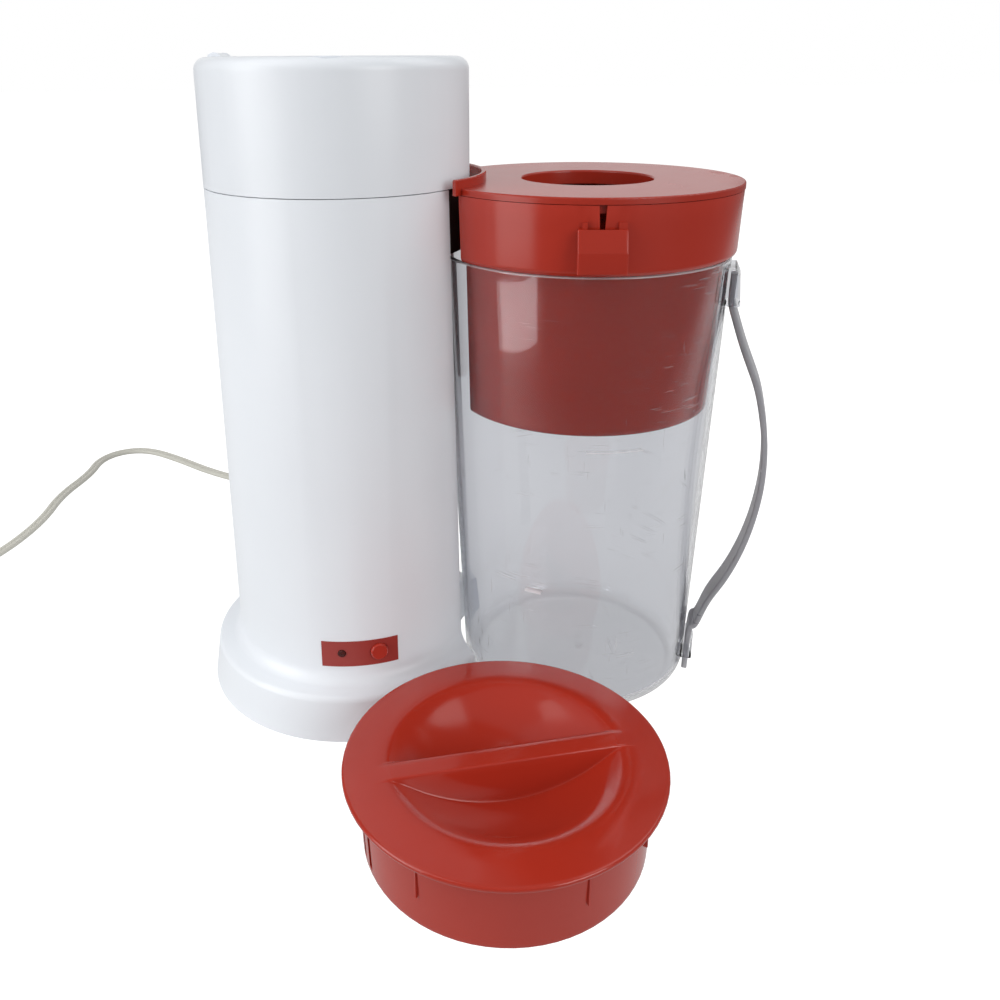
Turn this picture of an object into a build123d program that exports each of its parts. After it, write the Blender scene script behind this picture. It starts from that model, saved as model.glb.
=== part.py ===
from build123d import *
import math
import os

# Iced tea maker: a heating tower that docks with a clear pitcher, a brew basket with its cover
# on the pitcher, and a separate serving lid.  Millimetres, +Z up.  The origin is on the tower's
# axis at the table, +X points to the pitcher's side and +Y to the back.

# ---- driving dimensions: tower ----
tower_radius = 64.5
tower_height = 326.5
tower_wall = 2.5
seam_height = 267.8
seam_gap = 0.4
cap_edge_fillet = 6.0
cap_roof = 3.0
foot_bottom_radius = 79.8
foot_edge_radius = 76.4
foot_edge_height = 23.6
foot_edge_fillet = 3.5
foot_slope_radius = 70.6
foot_slope_height = 25.6
foot_blend_height = 32.5
ground_gap = 1.5

# ---- driving dimensions: dock, where the pitcher stands against the tower ----
dock_angle = -4.9
dock_distance = 122.9
dock_clearance_bottom = 8.3
dock_clearance_top = 1.9

# ---- driving dimensions: pitcher and strap ----
pitcher_bottom_radius = 61.4
pitcher_rim_radius = 72.2
pitcher_height = 233.8
pitcher_wall = 2.6
pitcher_floor = 3.4
pitcher_bottom_fillet = 9.0
rim_fillet = 0.9
strap_angle = -22.0
strap_width = 18.0
strap_thickness = 3.0
strap_reach = 95.8
strap_end_height = 3.4
strap_drawn_span = 190.5
strap_edge_radius = 1.0
lug_wall = 1.2
upper_lug_drop = 23.8
upper_lug_height = 19.0
lower_lug_base = 11.0
lower_lug_height = 8.5

# ---- driving dimensions: brew basket, cover and strength slider ----
seat_gap = 0.3
basket_wall = 2.2
basket_floor = 2.4
band_bottom_radius = 74.2
band_top_radius = 75.7
band_height = 31.6
band_corner = 3.0
tub_depth = 77.9
tub_bottom_radius = 64.9
tub_corner = 3.0
tub_clearance = 1.2
notch_clearance = 5.9
notch_wall = 2.3
collar_height = 4.2
drain_radius = 1.6
cover_radius = 76.0
collar_horn_radius = 80.0
cover_thickness = 3.0
cover_hole_radius = 32.5
cover_lip_depth = 4.0
cover_lip_wall = 1.6
slot_angle = -98.0
slot_top_width = 3.4
slot_bottom_width = 2.2
slot_taper_height = 21.0
slot_bottom_height = 7.0
slider_travel = 9.0
tab_width = 21.5
tab_height = 18.9
tab_projection = 4.6
tab_slope = 1.6
tab_face_height = 9.6

# ---- driving dimensions: controls ----
panel_start_angle = -106.0
panel_end_angle = -71.7
panel_bottom = 34.8
panel_height = 14.1
panel_thickness = 1.3
panel_proud = 0.3
panel_seat = 0.05
control_height = 42.4
lens_angle = -96.9
lens_radius = 2.0
button_angle = -80.4
button_radius = 4.3
button_proud = 1.7
button_travel = 2.0

# ---- driving dimensions: fill lid and its hinge ----
lid_opening_radius = 49.0
lid_clearance = 0.4
fill_lid_thickness = 2.5
hinge_angle = dock_angle + 180
hinge_radius = 53.5
hinge_drop = 1.5
hinge_pin_radius = 1.25
knuckle_radius = 3.3
knuckle_half_width = 8.6
lug_half_width = 12.0

# ---- driving dimensions: water system ----
tank_bottom = 70.0
tank_top = 262.0
tank_wall = 1.8
tank_gap = 0.7
ledge_thickness = 2.4
ledge_width = 4.0
pipe_outer = 5.0
pipe_inner = 3.5
hose_wall = 1.5
riser_x = 34.0
riser_y = 12.0
heater_centre_height = 31.0
element_height = 20.0
element_radius = 3.5
spout_top = 300.0
spout_rise = 22.9
spout_drop_x = 56.0
spout_tip_gap = 0.5

# ---- driving dimensions: serving lid ----
serving_x = 62.9
serving_y = -141.5
serving_flange_radius = 70.4
serving_flange_thickness = 2.4
serving_flange_top = 37.1
serving_crown_height = 39.4
serving_skirt_bottom_radius = 62.4
serving_skirt_top_radius = 64.0
serving_wall = 2.3
bowl_radius = 50.0
bowl_depth = 17.0
bar_angle = 5.2
bar_width = 12.5
bar_draft = 14.0

# ---- driving dimensions: cord and plug ----
cord_width = 7.0
cord_thickness = 3.6
cord_exit_angle = 94.0
cord_exit_height = 7.0
relief_length = 30.0
relief_base = (11.0, 8.4)
relief_tip = (8.6, 5.2)
relief_inside = 5.3
relief_neck_radius = 4.2
relief_flange_radius = 6.0
relief_flange_thickness = 1.5
plug_length = 32.0
plug_width = 24.0
plug_height = 12.0
blade_length = 17.0
blade_spacing = 12.7

# ---- derived places ----
cap_bottom = seam_height + seam_gap / 2
housing_top = seam_height - seam_gap / 2
dock_x = dock_distance * math.cos(math.radians(dock_angle))
dock_y = dock_distance * math.sin(math.radians(dock_angle))
hinge_height = tower_height - hinge_drop
tower_centre = (0, 0, 0)
pitcher_centre = (dock_x, dock_y, 0)
serving_centre = (serving_x, serving_y, 0)
dock_plane = Plane(tower_centre, x_dir=(dock_x, dock_y, 0), z_dir=(0, 0, 1))
tower_inner = tower_radius - tower_wall
dock_radius_bottom = pitcher_bottom_radius + dock_clearance_bottom
dock_radius_top = band_top_radius + dock_clearance_top
basket_seat = pitcher_height + seat_gap
tub_bottom = basket_seat - tub_depth
band_top = basket_seat + band_height
spout_height = basket_seat + spout_rise
pitcher_inner_rim = pitcher_rim_radius - pitcher_wall
tub_top_radius = pitcher_inner_rim - tub_clearance
notch_radius = tower_radius + notch_clearance
cover_bottom = band_top + seat_gap
cover_top = cover_bottom + cover_thickness
tank_radius = tower_inner - tank_gap
riser_channel = pipe_outer + hose_wall + 1.5
plate_bottom = 2.0
plate_top = 4.5


def upright(centre, angle=0.0):
    """Vertical sketch plane through a centre: local x outwards at the angle, local y up."""
    turn = math.radians(angle)
    return Plane(centre, x_dir=(math.cos(turn), math.sin(turn), 0), z_dir=(math.sin(turn), -math.cos(turn), 0))


def facing(centre, angle, height, distance):
    """Plane square to a radius: local x along the tangent, local y up, local z outwards."""
    turn = math.radians(angle)
    origin = (centre[0] + distance * math.cos(turn), centre[1] + distance * math.sin(turn), height)
    return Plane(origin, x_dir=(-math.sin(turn), math.cos(turn), 0), z_dir=(math.cos(turn), math.sin(turn), 0))


def around(radius, angle, height):
    """Point at a radius, angle and height about the tower's axis."""
    turn = math.radians(angle)
    return (radius * math.cos(turn), radius * math.sin(turn), height)


def axis_at(centre):
    return Axis(centre, (0, 0, 1))


def pitcher_radius_at(height):
    return pitcher_bottom_radius + (pitcher_rim_radius - pitcher_bottom_radius) * height / pitcher_height


def dock_radius_at(height):
    return dock_radius_bottom + (dock_radius_top - dock_radius_bottom) * height / seam_height


def dock_recess(extra):
    """The tapered space in front of the tower that the pitcher fills, grown by a wall."""
    with BuildPart() as recess:
        with BuildSketch(upright(pitcher_centre)):
            Polygon(
                (0, 0),
                (dock_radius_bottom + extra, 0),
                (dock_radius_top + extra, seam_height),
                (0, seam_height),
                align=None,
            )
        revolve(axis=axis_at(pitcher_centre))
    return recess.part


def crescent(height, rim, dock_extra, width):
    """Ring that follows the inside of the tower, both its round side and its dock side."""
    dock_edge = dock_radius_at(height) + dock_extra
    with BuildSketch(Plane.XY.offset(height)) as opening:
        Circle(rim - width)
        with Locations((dock_x, dock_y)):
            Circle(dock_edge + width, mode=Mode.SUBTRACT)
    with BuildSketch(Plane.XY.offset(height)) as ring:
        Circle(rim)
        with Locations((dock_x, dock_y)):
            Circle(dock_edge, mode=Mode.SUBTRACT)
        add(opening.sketch, mode=Mode.SUBTRACT)
    return ring.sketch


relief_plane = facing(tower_centre, cord_exit_angle, cord_exit_height, foot_bottom_radius)

os.makedirs("parts", exist_ok=True)

# ================= tower shells =================

housing_margin = 1.0
foot_ceiling_drop = 2.6

with BuildPart() as housing_space:
    with BuildSketch(upright(tower_centre)):
        Polygon(
            (0, ground_gap - housing_margin),
            (foot_bottom_radius - tower_wall, ground_gap - housing_margin),
            (foot_edge_radius - tower_wall, foot_edge_height - foot_ceiling_drop),
            (tower_inner, foot_blend_height - 2 * foot_ceiling_drop),
            (tower_inner, seam_height + housing_margin),
            (0, seam_height + housing_margin),
            align=None,
        )
    revolve(axis=Axis.Z)
    add(dock_recess(tower_wall), mode=Mode.SUBTRACT)

boss_angles = [50, 130, 215, 300]
boss_ring = 66.0
boss_radius = 4.0
boss_top = 24.0
screw_radius = 1.5
pilot_depth = 14.0

with BuildPart() as tower_housing:
    with BuildSketch(upright(tower_centre)):
        with BuildLine():
            Polyline((tower_radius, foot_blend_height), (tower_radius, housing_top), (0, housing_top), (0, ground_gap))
            Line((0, ground_gap), (foot_bottom_radius, ground_gap))
            Line((foot_bottom_radius, ground_gap), (foot_edge_radius, foot_edge_height))
            Line((foot_edge_radius, foot_edge_height), (foot_slope_radius, foot_slope_height))
            TangentArc(
                (tower_radius, foot_blend_height),
                (foot_slope_radius, foot_slope_height),
                tangent=(0, -1),
            )
        make_face()
        fillet(vertices().sort_by(Axis.X)[-2], foot_edge_fillet)
    revolve(axis=Axis.Z)
    add(dock_recess(0), mode=Mode.SUBTRACT)
    add(housing_space.part, mode=Mode.SUBTRACT)
    # ledge that the tank stands on, cut away round the riser hose
    add(crescent(tank_bottom - ledge_thickness, tower_inner + 0.5, tower_wall - 0.5, ledge_width + 0.5))
    extrude(amount=ledge_thickness)
    with BuildSketch(dock_plane.offset(tank_bottom - 2 * ledge_thickness)):
        with Locations((riser_x, riser_y)):
            Circle(riser_channel)
    extrude(amount=3 * ledge_thickness, mode=Mode.SUBTRACT)
    # screw bosses for the base plate
    with BuildSketch(Plane.XY.offset(plate_top)):
        for angle in boss_angles:
            with PolarLocations(boss_ring, 1, start_angle=angle):
                Circle(boss_radius)
    extrude(amount=boss_top - plate_top)
    with BuildSketch(Plane.XY.offset(plate_top)):
        for angle in boss_angles:
            with PolarLocations(boss_ring, 1, start_angle=angle):
                Circle(screw_radius - 0.2)
    extrude(amount=pilot_depth, mode=Mode.SUBTRACT)
    # shallow pocket for the control panel, with holes for the lens and the button
    with BuildSketch(upright(tower_centre, panel_start_angle)):
        with Locations((tower_radius, panel_bottom + panel_height / 2)):
            Rectangle(2 * (panel_thickness - panel_proud + panel_seat), panel_height + 2 * panel_seat)
    revolve(axis=Axis.Z, revolution_arc=panel_end_angle - panel_start_angle, mode=Mode.SUBTRACT)
    for angle, radius in ((lens_angle, lens_radius), (button_angle, button_radius)):
        with BuildSketch(facing(tower_centre, angle, control_height, tower_radius)):
            Circle(radius + 0.2)
        extrude(amount=-2 * tower_wall, mode=Mode.SUBTRACT)
    # nubs that carry the switch
    with BuildSketch(facing(tower_centre, button_angle, control_height, tower_inner - 1.7)):
        with Locations((-10, 0), (10, 0)):
            Circle(2.5)
    extrude(amount=1.6)
    # cord hole in the back of the foot
    with BuildSketch(relief_plane):
        Circle(relief_neck_radius + 0.2)
    extrude(amount=-relief_inside, mode=Mode.SUBTRACT)

scoop_angle = -91.0
scoop_radius = 20.0
scoop_depth = 1.2
cap_lip_height = 5.0
cap_lip_wall = 2.0
seat_ring_width = 4.0
lid_seat = tower_height - fill_lid_thickness - seat_gap
side_gap = 0.4
hinge_plane = upright(tower_centre, hinge_angle)
pocket_start = lid_opening_radius - seat_ring_width - 1
pocket_end = hinge_radius + knuckle_radius + 0.7

with BuildPart() as tower_cap:
    with BuildSketch(Plane.XY.offset(cap_bottom)):
        Circle(tower_radius)
    extrude(amount=tower_height - cap_bottom)
    fillet(edges().group_by(Axis.Z)[-1], cap_edge_fillet)
    with BuildSketch(Plane.XY.offset(cap_bottom + tower_wall)):
        Circle(tower_inner)
    extrude(amount=tower_height - cap_roof - cap_bottom - tower_wall, mode=Mode.SUBTRACT)
    with BuildSketch(Plane.XY.offset(cap_bottom)):
        Circle(tower_inner)
        with Locations((dock_x, dock_y)):
            Circle(dock_radius_top + tower_wall, mode=Mode.SUBTRACT)
    extrude(amount=tower_wall, mode=Mode.SUBTRACT)
    # lip that plugs into the housing, hung from a band inside the cap
    add(crescent(cap_bottom - cap_lip_height, tower_inner - 0.2, tower_wall + 0.3, cap_lip_wall))
    extrude(amount=cap_lip_height + tower_wall)
    add(crescent(cap_bottom, tower_inner + 0.5, tower_wall - 0.5, cap_lip_wall + 0.7))
    extrude(amount=tower_wall)
    # fill opening with the ring that the lid rests on
    with BuildSketch(Plane.XY.offset(tower_height - cap_roof)):
        Circle(lid_opening_radius)
    extrude(amount=cap_roof, mode=Mode.SUBTRACT)
    with BuildSketch(Plane.XY.offset(lid_seat - cap_roof)):
        Circle(lid_opening_radius + 2.0)
        Circle(lid_opening_radius - seat_ring_width, mode=Mode.SUBTRACT)
    extrude(amount=cap_roof)
    # pocket and lugs of the hinge
    with BuildSketch(hinge_plane):
        with Locations(((pocket_start + pocket_end) / 2, hinge_height)):
            Rectangle(pocket_end - pocket_start, 2 * (knuckle_radius + 0.7))
    extrude(amount=knuckle_half_width + side_gap, both=True, mode=Mode.SUBTRACT)
    for side in (-1, 1):
        with BuildSketch(hinge_plane.offset(side * (knuckle_half_width + side_gap))):
            with Locations((hinge_radius, hinge_height)):
                Circle(knuckle_radius + 0.2)
        extrude(amount=side * (lug_half_width - knuckle_half_width - side_gap))
    with BuildSketch(hinge_plane):
        with Locations((hinge_radius, hinge_height)):
            Circle(hinge_pin_radius)
    extrude(amount=lug_half_width + 1, both=True, mode=Mode.SUBTRACT)
    # shallow finger scoop in the front edge
    with BuildSketch(facing(tower_centre, scoop_angle, tower_height + scoop_radius - scoop_depth, lid_opening_radius + 4)):
        Circle(scoop_radius)
    extrude(amount=tower_radius, mode=Mode.SUBTRACT)
    # hole for the spout
    with BuildSketch(dock_plane.offset(cap_bottom - 1)):
        with Locations((spout_drop_x, 0)):
            Circle(pipe_outer + 0.2)
    extrude(amount=tower_wall + 2, mode=Mode.SUBTRACT)

# ================= foot =================

foot_pad_radius = 7.0
foot_pad_ring = 62.0
foot_pad_angles = [75, 155, 235, 285]
post_ring = 18.0
post_radius = 4.0
post_angles = [60, 180, 300]
bracket_bottom = 12.0
bracket_thickness = 2.0
plate_gap = 1.1

with BuildPart() as base_plate:
    with BuildSketch(Plane.XY.offset(plate_bottom)):
        Circle(foot_bottom_radius - tower_wall - plate_gap)
        with Locations((dock_x, dock_y)):
            Circle(dock_radius_at(plate_top) + tower_wall + plate_gap, mode=Mode.SUBTRACT)
    extrude(amount=plate_top - plate_bottom)
    with BuildSketch(Plane.XY.offset(plate_top)):
        with PolarLocations(post_ring, len(post_angles), start_angle=post_angles[0]):
            Circle(post_radius)
    extrude(amount=bracket_bottom - plate_top)
    with BuildSketch(Plane.XY.offset(plate_bottom)):
        for angle in boss_angles:
            with PolarLocations(boss_ring, 1, start_angle=angle):
                Circle(screw_radius)
    extrude(amount=plate_top - plate_bottom, mode=Mode.SUBTRACT)
    with BuildSketch(Plane.XY.offset(plate_top)):
        with PolarLocations(post_ring, len(post_angles), start_angle=post_angles[0]):
            Circle(screw_radius - 0.2)
    extrude(amount=bracket_bottom - plate_top, mode=Mode.SUBTRACT)
    # notch round the cord's relief
    with BuildSketch(relief_plane):
        Circle(relief_flange_radius + 0.5)
    extrude(amount=-relief_inside - 3 * relief_flange_thickness, mode=Mode.SUBTRACT)

with BuildPart() as rubber_feet:
    with BuildSketch(Plane.XY):
        for angle in foot_pad_angles:
            with PolarLocations(foot_pad_ring, 1, start_angle=angle):
                Circle(foot_pad_radius)
        Circle(foot_pad_radius)
    extrude(amount=plate_bottom)


def screws(ring, angles, head_face, head_height, shaft_length):
    """A group of round-headed screws whose heads seat on one level face.

    A positive shaft length points the screws up, a negative one down.
    """
    sense = math.copysign(1, shaft_length)
    with BuildPart() as group:
        for radius, length in ((2 * screw_radius, -sense * head_height), (screw_radius - 0.2, shaft_length)):
            with BuildSketch(Plane.XY.offset(head_face)):
                for angle in angles:
                    with PolarLocations(ring, 1, start_angle=angle):
                        Circle(radius)
            extrude(amount=length)
    return group


base_screws = screws(boss_ring, boss_angles, plate_bottom, 1.4, 12.0)

# ================= controls =================

with BuildPart() as control_panel:
    with BuildSketch(upright(tower_centre, panel_start_angle)):
        with Locations((tower_radius - panel_thickness / 2 + panel_proud, panel_bottom + panel_height / 2)):
            Rectangle(panel_thickness, panel_height)
    revolve(axis=Axis.Z, revolution_arc=panel_end_angle - panel_start_angle)
    for angle, radius in ((lens_angle, lens_radius), (button_angle, button_radius)):
        with BuildSketch(facing(tower_centre, angle, control_height, tower_radius + panel_thickness)):
            Circle(radius + 0.15)
        extrude(amount=-3 * panel_thickness, mode=Mode.SUBTRACT)

flange_face = tower_inner - 0.6
flange_thickness = 1.2
stem_radius = 2.0
stem_end = 52.5
switch_face = flange_face - flange_thickness - 0.3
switch_back = 44.5
switch_well = button_travel + 1.0

with BuildPart() as push_button:
    with BuildSketch(facing(tower_centre, button_angle, control_height, flange_face)):
        Circle(button_radius)
    extrude(amount=tower_radius + panel_proud + button_proud - flange_face)
    chamfer(faces().sort_by(Axis.Y)[0].edges(), 0.5)
    with BuildSketch(facing(tower_centre, button_angle, control_height, flange_face)):
        Circle(button_radius + 1.0)
    extrude(amount=-flange_thickness)
    with BuildSketch(facing(tower_centre, button_angle, control_height, flange_face - flange_thickness)):
        Circle(stem_radius)
    extrude(amount=stem_end - flange_face + flange_thickness)

with BuildPart() as indicator_lens:
    with BuildSketch(facing(tower_centre, lens_angle, control_height, flange_face)):
        Circle(lens_radius)
    extrude(amount=tower_radius + panel_proud + 0.7 - flange_face)
    fillet(faces().sort_by(Axis.Y)[0].edges(), 0.6)
    with BuildSketch(facing(tower_centre, lens_angle, control_height, flange_face)):
        Circle(lens_radius + 1.0)
    extrude(amount=-flange_thickness)

lamp_length = 10.0

with BuildPart() as indicator_lamp:
    with BuildSketch(facing(tower_centre, lens_angle, control_height, flange_face - flange_thickness)):
        Circle(lens_radius + 0.6)
    extrude(amount=-lamp_length)
    fillet(faces().sort_by(Axis.Y)[0].edges(), 0.8)

switch_width = 14.0
switch_height = 17.0
switch_plate_width = 25.0
switch_plate = 1.3

with BuildPart() as power_switch:
    with BuildSketch(facing(tower_centre, button_angle, control_height, switch_face)):
        Rectangle(switch_plate_width, switch_height)
    extrude(amount=-switch_plate)
    with BuildSketch(facing(tower_centre, button_angle, control_height, switch_face)):
        Rectangle(switch_width, switch_height)
    extrude(amount=switch_back - switch_face)
    with BuildSketch(facing(tower_centre, button_angle, control_height, switch_face)):
        Circle(button_radius + 1.6)
    extrude(amount=-switch_well, mode=Mode.SUBTRACT)
    with BuildSketch(facing(tower_centre, button_angle, control_height, switch_face)):
        Circle(stem_radius + 0.4)
    extrude(amount=stem_end - button_travel - 0.5 - switch_face, mode=Mode.SUBTRACT)

# ================= water system =================


def tank_form(inset, bottom):
    """Round tank that follows the tower's inside and leaves a channel for the riser hose."""
    with BuildPart() as form:
        with BuildSketch(Plane.XY.offset(bottom)):
            Circle(tank_radius - inset)
        extrude(amount=tank_top - bottom)
        add(dock_recess(tower_wall + tank_gap + inset), mode=Mode.SUBTRACT)
        with BuildSketch(dock_plane.offset(bottom)):
            with Locations((riser_x, riser_y)):
                Circle(riser_channel + inset)
                with Locations((tower_inner / 2, 0)):
                    Rectangle(tower_inner, 2 * (riser_channel + inset))
        extrude(amount=tank_top - bottom, mode=Mode.SUBTRACT)
    return form.part


nipple_bottom = 58.0

with BuildPart() as water_tank:
    add(tank_form(0, tank_bottom))
    add(tank_form(tank_wall, tank_bottom + tank_wall), mode=Mode.SUBTRACT)
    with BuildSketch(dock_plane.offset(nipple_bottom)):
        with Locations((riser_x, -riser_y)):
            Circle(pipe_outer)
    extrude(amount=tank_bottom - nipple_bottom)
    with BuildSketch(dock_plane.offset(nipple_bottom)):
        with Locations((riser_x, -riser_y)):
            Circle(pipe_inner)
    extrude(amount=tank_bottom + tank_wall - nipple_bottom, mode=Mode.SUBTRACT)

heater_ring = math.hypot(riser_x, riser_y)
pipe_end_angle = math.degrees(math.atan2(riser_y, riser_x))
casting_end_angle = pipe_end_angle + 14.0
casting_width = 14.5
casting_bottom = bracket_bottom + bracket_thickness
casting_top = 38.0
element_end_angle = pipe_end_angle + 6.0
pipe_top = 52.0


def heater_arc(height, radius, end_angle):
    """Open ring of round section about the tower's axis, with its gap towards the dock."""
    with BuildPart() as arc:
        with BuildSketch(upright(tower_centre, dock_angle + end_angle)):
            with Locations((heater_ring, height)):
                Circle(radius)
        revolve(axis=Axis.Z, revolution_arc=360 - 2 * end_angle)
    return arc.part


def heater_pipe_form(radius, start_height):
    """Heater pipe: an open ring whose two ends turn up."""
    with BuildPart() as form:
        add(heater_arc(heater_centre_height, radius, pipe_end_angle))
        for side in (-1, 1):
            corner = dock_plane.from_local_coords((riser_x, side * riser_y, heater_centre_height))
            with Locations(corner):
                Sphere(radius)
            with BuildSketch(dock_plane.offset(heater_centre_height)):
                with Locations((riser_x, side * riser_y)):
                    Circle(radius)
            extrude(amount=start_height - heater_centre_height)
    return form.part


with BuildPart() as heater_pipe:
    add(heater_pipe_form(pipe_outer, pipe_top))
    add(heater_pipe_form(pipe_inner, pipe_top), mode=Mode.SUBTRACT)

with BuildPart() as heating_element:
    add(heater_arc(element_height, element_radius, element_end_angle))

with BuildPart() as heater_casting:
    with BuildSketch(upright(tower_centre, dock_angle + casting_end_angle)):
        with Locations((heater_ring, (casting_bottom + casting_top) / 2)):
            RectangleRounded(casting_width, casting_top - casting_bottom, 2.0)
        with Locations((heater_ring, heater_centre_height)):
            Circle(pipe_outer, mode=Mode.SUBTRACT)
        with Locations((heater_ring, element_height)):
            Circle(element_radius, mode=Mode.SUBTRACT)
    revolve(axis=Axis.Z, revolution_arc=360 - 2 * casting_end_angle)

with BuildPart() as heater_bracket:
    with BuildSketch(Plane.XY.offset(bracket_bottom)):
        Circle(heater_ring + casting_width / 2)
        Circle(post_ring - 2 * post_radius, mode=Mode.SUBTRACT)
        with PolarLocations(post_ring, len(post_angles), start_angle=post_angles[0]):
            Circle(screw_radius, mode=Mode.SUBTRACT)
    extrude(amount=bracket_thickness)

bracket_screws = screws(post_ring, post_angles, casting_bottom, 1.8, 2.0 - casting_bottom + plate_top)

thermostat_angle = 150.0
fuse_angle = 105.0

with BuildPart() as thermostat:
    with BuildSketch(Plane.XY.offset(casting_top)):
        with PolarLocations(heater_ring, 1, start_angle=thermostat_angle):
            Circle(casting_width / 2)
    extrude(amount=5.0)
    with BuildSketch(Plane.XY.offset(casting_top + 5.0)):
        with PolarLocations(heater_ring, 1, start_angle=thermostat_angle):
            Circle(casting_width / 3)
    extrude(amount=2.5)

fuse_radius = 2.2
fuse_half_length = 6.0

with BuildPart() as thermal_fuse:
    with BuildSketch(facing(tower_centre, fuse_angle, casting_top + fuse_radius, heater_ring)):
        Circle(fuse_radius)
    extrude(amount=fuse_half_length, both=True)

hose_inner = pipe_outer
hose_outer = pipe_outer + hose_wall
hose_bottom = 44.0
inlet_hose_top = 67.0
riser_top = 290.0


def hose(side, top):
    """Straight hose on the pipe end at one side of the dock plane."""
    with BuildPart() as tube:
        with BuildSketch(dock_plane.offset(hose_bottom)):
            with Locations((riser_x, side * riser_y)):
                Circle(hose_outer)
                Circle(hose_inner, mode=Mode.SUBTRACT)
        extrude(amount=top - hose_bottom)
    return tube


inlet_hose = hose(-1, inlet_hose_top)
riser_hose = hose(1, riser_top)

ball_radius = 4.0

with BuildPart() as check_valve_ball:
    ball_rise = math.sqrt(ball_radius**2 - pipe_inner**2)
    with Locations(dock_plane.from_local_coords((riser_x, -riser_y, pipe_top + ball_rise))):
        Sphere(ball_radius)

clamp_height = 5.0
clamp_thickness = 0.9

with BuildPart() as hose_clamps:
    for side, top in ((-1, inlet_hose_top), (1, riser_top)):
        for height in (hose_bottom + 1.0, top - clamp_height - 1.0):
            with BuildSketch(dock_plane.offset(height)):
                with Locations((riser_x, side * riser_y)):
                    Circle(hose_outer + clamp_thickness)
                    Circle(hose_outer, mode=Mode.SUBTRACT)
            extrude(amount=clamp_height)

spout_bend = 7.0
spout_socket = riser_top - 10.0
spout_tip = notch_radius - spout_tip_gap
shroud_clearance = 3.0
shroud_inset = 2.0
shroud_gap = 0.7
shroud_bore_gap = 0.3


def spout_form(radius):
    """Spout from the riser hose, over the dock wall, down through the cap and out to the basket."""
    route = [
        (riser_x, riser_y, spout_socket),
        (riser_x, riser_y, spout_top),
        (spout_drop_x, 0, spout_top),
        (spout_drop_x, 0, spout_height),
        (spout_tip, 0, spout_height),
    ]
    points = [dock_plane.from_local_coords(point) for point in route]
    with BuildPart() as form:
        with BuildLine() as path:
            FilletPolyline(*points, radius=spout_bend)
        with BuildSketch(Plane(points[0], x_dir=dock_plane.x_dir, z_dir=(0, 0, 1))):
            Circle(radius)
        sweep(path=path.wires()[0])
    return form.part


with BuildPart() as water_spout:
    add(spout_form(pipe_outer))
    add(spout_form(pipe_inner), mode=Mode.SUBTRACT)

# dark block that closes the dock round the spout, above the pitcher's rim
with BuildPart() as spout_shroud:
    with BuildSketch(Plane.XY.offset(basket_seat + shroud_clearance)):
        Circle(tower_radius - shroud_inset)
        with Locations((dock_x, dock_y)):
            Circle(dock_radius_at(basket_seat) - seat_gap, mode=Mode.INTERSECT)
    extrude(amount=cap_bottom - shroud_gap - basket_seat - shroud_clearance)
    add(spout_form(pipe_outer + shroud_bore_gap), mode=Mode.SUBTRACT)

# ================= wiring =================

wire_radius = 1.1
wire_bend = 3.0
wire_ring = 53.0
wire_level = 8.0
wire_crossing = 49.0
switch_post_ring = 54.0
element_wire_ring = 47.5


def wire(points):
    """Insulated wire along a route of straight runs with one bend radius."""
    with BuildPart() as strand:
        with BuildLine() as path:
            FilletPolyline(*points, radius=wire_bend)
        start = Vector(*points[0])
        with BuildSketch(Plane(points[0], z_dir=Vector(*points[1]) - start)):
            Circle(wire_radius)
        sweep(path=path.wires()[0])
    return strand.part


switch_bottom = control_height - switch_height / 2
relief_face = foot_bottom_radius - relief_inside - relief_flange_thickness
# from the cord, round the back of the foot, up to the switch
supply_route = [around(radius, cord_exit_angle, cord_exit_height) for radius in (relief_face, relief_face - 8.0)]
supply_route += [around(wire_ring, angle, wire_level) for angle in range(100, 260, 20)]
supply_route += [around(switch_post_ring, button_angle + 360, wire_level)]
supply_route += [around(switch_post_ring, button_angle + 360, switch_bottom)]
# from the switch, over the heater, to the thermostat
thermostat_top = casting_top + 7.5
crossing_route = [
    around(switch_back, button_angle, control_height),
    around(switch_back - 7.0, button_angle, control_height),
    around(switch_back - 13.0, button_angle, wire_crossing),
    around(heater_ring, thermostat_angle, wire_crossing + 3.0),
    around(heater_ring, thermostat_angle, thermostat_top),
]
# from the fuse, round the casting, to the end of the element
fuse_height = casting_top + fuse_radius
element_end = dock_angle + element_end_angle
element_route = [
    around(heater_ring + fuse_half_length, fuse_angle, fuse_height),
    around(element_wire_ring + 2.5, fuse_angle, fuse_height),
    around(element_wire_ring + 1.5, fuse_angle, element_height),
]
element_route += [around(element_wire_ring, angle, element_height) for angle in (85, 65, 45, 28, 10)]
element_route += [around(heater_ring + 0.4, element_end - 12.5, element_height)]
element_route += [around(heater_ring, element_end - 0.4, element_height)]

with BuildPart() as lead_wires:
    add(wire(supply_route))
    add(wire(crossing_route))
    add(wire(element_route))

# ================= fill lid =================

lid_skirt_depth = 6.0
lid_skirt_wall = 2.0
lid_skirt_radius = lid_opening_radius - seat_ring_width - 0.7
arm_height = 2.2

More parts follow.
